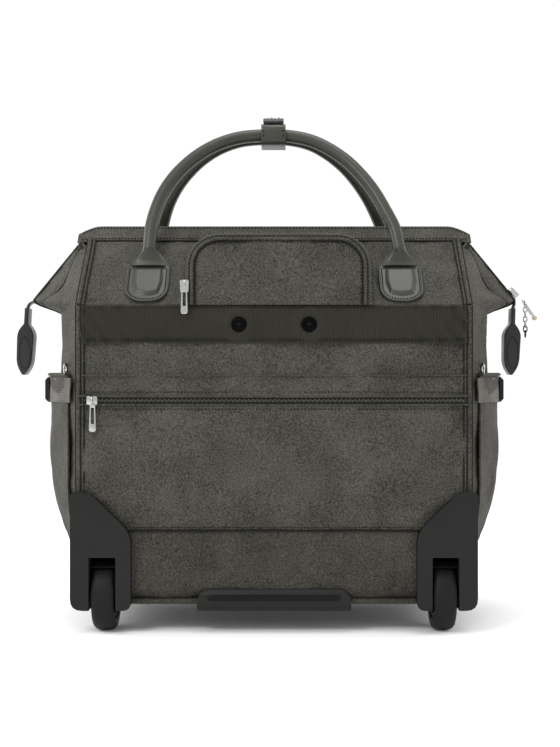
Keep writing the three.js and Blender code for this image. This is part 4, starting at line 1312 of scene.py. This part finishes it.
# ---------- hard parts ----------
def make_hard_parts():
    for side in ("right", "left"):
        softened("wheel_housing_" + side, "case", "black_plastic", PLASTIC, 2.4 * MM, 4)
        softened("tyre_" + side, "wheel_" + side, "rubber", TYRE, 1.2 * MM, 3, 20)
        softened("wheel_hub_" + side, "wheel_" + side, "black_plastic", HUB, 0.8 * MM)
        softened("axle_" + side, "case", "steel", STEEL, 0.4 * MM)
        softened("front_foot_" + side, "case", "rubber", TYRE, 1.2 * MM, 3)
        # a curved liner closes the well behind the tyre
        lo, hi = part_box("tyre_" + side)
        centre_y, centre_z = (lo.y + hi.y) / 2, (lo.z + hi.z) / 2
        reach = (hi.z - lo.z) / 2 + 3.6 * MM
        x0, x1 = lo.x - 1.6 * MM, hi.x + 1.6 * MM

        def liner(u, v):
            angle = math.radians(lerp(-8, 128, v))
            return lerp(x1, x0, u), centre_y + reach * math.cos(angle), centre_z + reach * math.sin(angle)

        thick_sheet("wheel_well_" + side, grid(liner, 2, 30), -1.2 * MM, "case", "black_plastic", HUB)
    for node, body, slot, material, radius, segments in (
        ("skid_plate", "case", "black_plastic", PLASTIC, 1.6, 3),
        ("trolley_outer_tubes", "case", "aluminium", ALUMINIUM, 0.3, 2),
        ("trolley_bezel", "case", "black_plastic", PLASTIC, 1.0, 2),
        ("trolley_stage_1", "trolley_stage_1", "aluminium", ALUMINIUM, 0.4, 2),
        ("trolley_stage_2", "trolley_stage_2", "aluminium", ALUMINIUM, 0.4, 2),
        ("trolley_grip", "trolley_stage_2", "black_plastic", PLASTIC, 3.5, 4),
        ("trolley_button", "trolley_button", "black_plastic", HUB, 1.2, 3),
    ):
        softened(node, body, slot, material, radius * MM, segments)
    divider = softened("laptop_divider", "case", "lining", LINING, 2.5 * MM, 3)
    # A raised inner plate on the skid, inside its rim.
    half = SKID_HI.x - 6 * MM
    low, high = SKID_LO.z + 11 * MM, SKID_HI.z - 5 * MM

    def plate(u, v):
        z = lerp(low, high, v)
        end = (high - low) / 2
        over = abs(v - 0.5) * 2
        reach = half - end + end * math.sqrt(max(0.0, 1 - over**2 * 0.8))
        rim = min(1.0, min(u, 1 - u) * 14, min(v, 1 - v) * 6)
        return lerp(-reach, reach, u), SKID_LO.y + 0.8 * MM - 1.8 * MM * smooth(rim), z

    thick_sheet("skid_inner_plate", grid(plate, 60, 14), 2 * MM, "case", "black_plastic", HUB)


def make_pulls():
    for node in ("back_slider", "back_puller", "flap_zip_pull", "main_slider", "main_puller"):
        softened(node, node, "polished_metal", NICKEL, 0.5 * MM, 3)
    # The two pulls on the back hang from a bridge each.
    for node, lift in (("back_slider", 1.4), ("flap_zip_pull", 0.9)):
        lo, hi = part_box(node)
        x = (lo.x + hi.x) / 2
        z = hi.z - 4.5 * MM
        y = BACK_Y - 8 * MM if node == "flap_zip_pull" else lo.y
        loop = [Vector((x, y - lift * MM * math.sin(a), z + 3.6 * MM * math.cos(a)))
                for a in (math.pi * k / 12 for k in range(13))]
        cord_of(node + "_bridge", loop, 1.0 * MM, node, "polished_metal", NICKEL, 10)
    lo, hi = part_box("main_puller")
    tip = Vector((hi.x - 2.4 * MM, 0, lo.z + 2.6 * MM))
    half = Vector((0, 3 * MM, 0))
    cord_of("main_puller_tip", [tip - half, tip + half], 2.2 * MM, "main_puller", "polished_metal", BRASS, 14)


def make_end_tabs():
    for side in ("right", "left"):
        name = "zip_end_tab_" + side
        tab = softened(name, name, "leather", LEATHER_DARK, 2.2 * MM, 4)
        lo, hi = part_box(name)
        centre = (lo.x + hi.x) / 2
        top = max(v.co.z for v in tab.data.vertices)
        middle = Vector((centre, lo.y - 0.1 * MM, lo.z + 24 * MM))
        points = circle(middle, Vector(((hi.x - lo.x) * 0.33, 0, 0)), Vector((0, 0, 17 * MM)), 28)
        stitching.seam(name, points + points[:1], OUT_BACK, 0.0026, 0.0018)
        flip = 1 if side == "right" else -1
        anchor = Vector((flip * (WING_END_X - 1 * MM), 0, 0.337))
        hang = [anchor, anchor.lerp(Vector((centre, 0, top)), 0.5) + Vector((flip * 1.5 * MM, 0, 0)),
                Vector((centre, 0, top - 6 * MM)), Vector((centre, 0, top - 18 * MM))]
        sweep("end_tab_strap_" + side, smooth_path(hang, 6), lambda i: oval(1.6 * MM, 6 * MM, 10), "case",
              "leather", LEATHER, side=lambda i: Vector((1, 0, 0)))
    # A short chain hangs beside the right-hand tab.
    lo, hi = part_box("zip_end_tab_right")
    start = Vector((hi.x + 3.5 * MM, lo.y - 5 * MM, hi.z + 3 * MM))
    for k in range(7):
        centre = start - Vector((0, 0, 5.2 * MM * k))
        turn = Vector((1, 0, 0)) if k % 2 else Vector((0, 1, 0))
        link = circle(centre, turn * 2.0 * MM, Vector((0, 0, 3.6 * MM)), 16)
        material = NICKEL if k < 5 else SCREW
        cord_of(f"chain_link_{k}", link, 0.65 * MM, "case", "polished_metal", material, 7, True)


set_the_stage()
make_back()
make_back_zip()
make_sides()
make_front()
make_piping()
make_yokes()
make_bands()
make_wings()
make_trolley_pocket()
make_webbing()
make_handles()
make_tabs()
make_wrap()
make_side_pockets()
make_hard_parts()
make_pulls()
make_end_tabs()
stitching.sew()
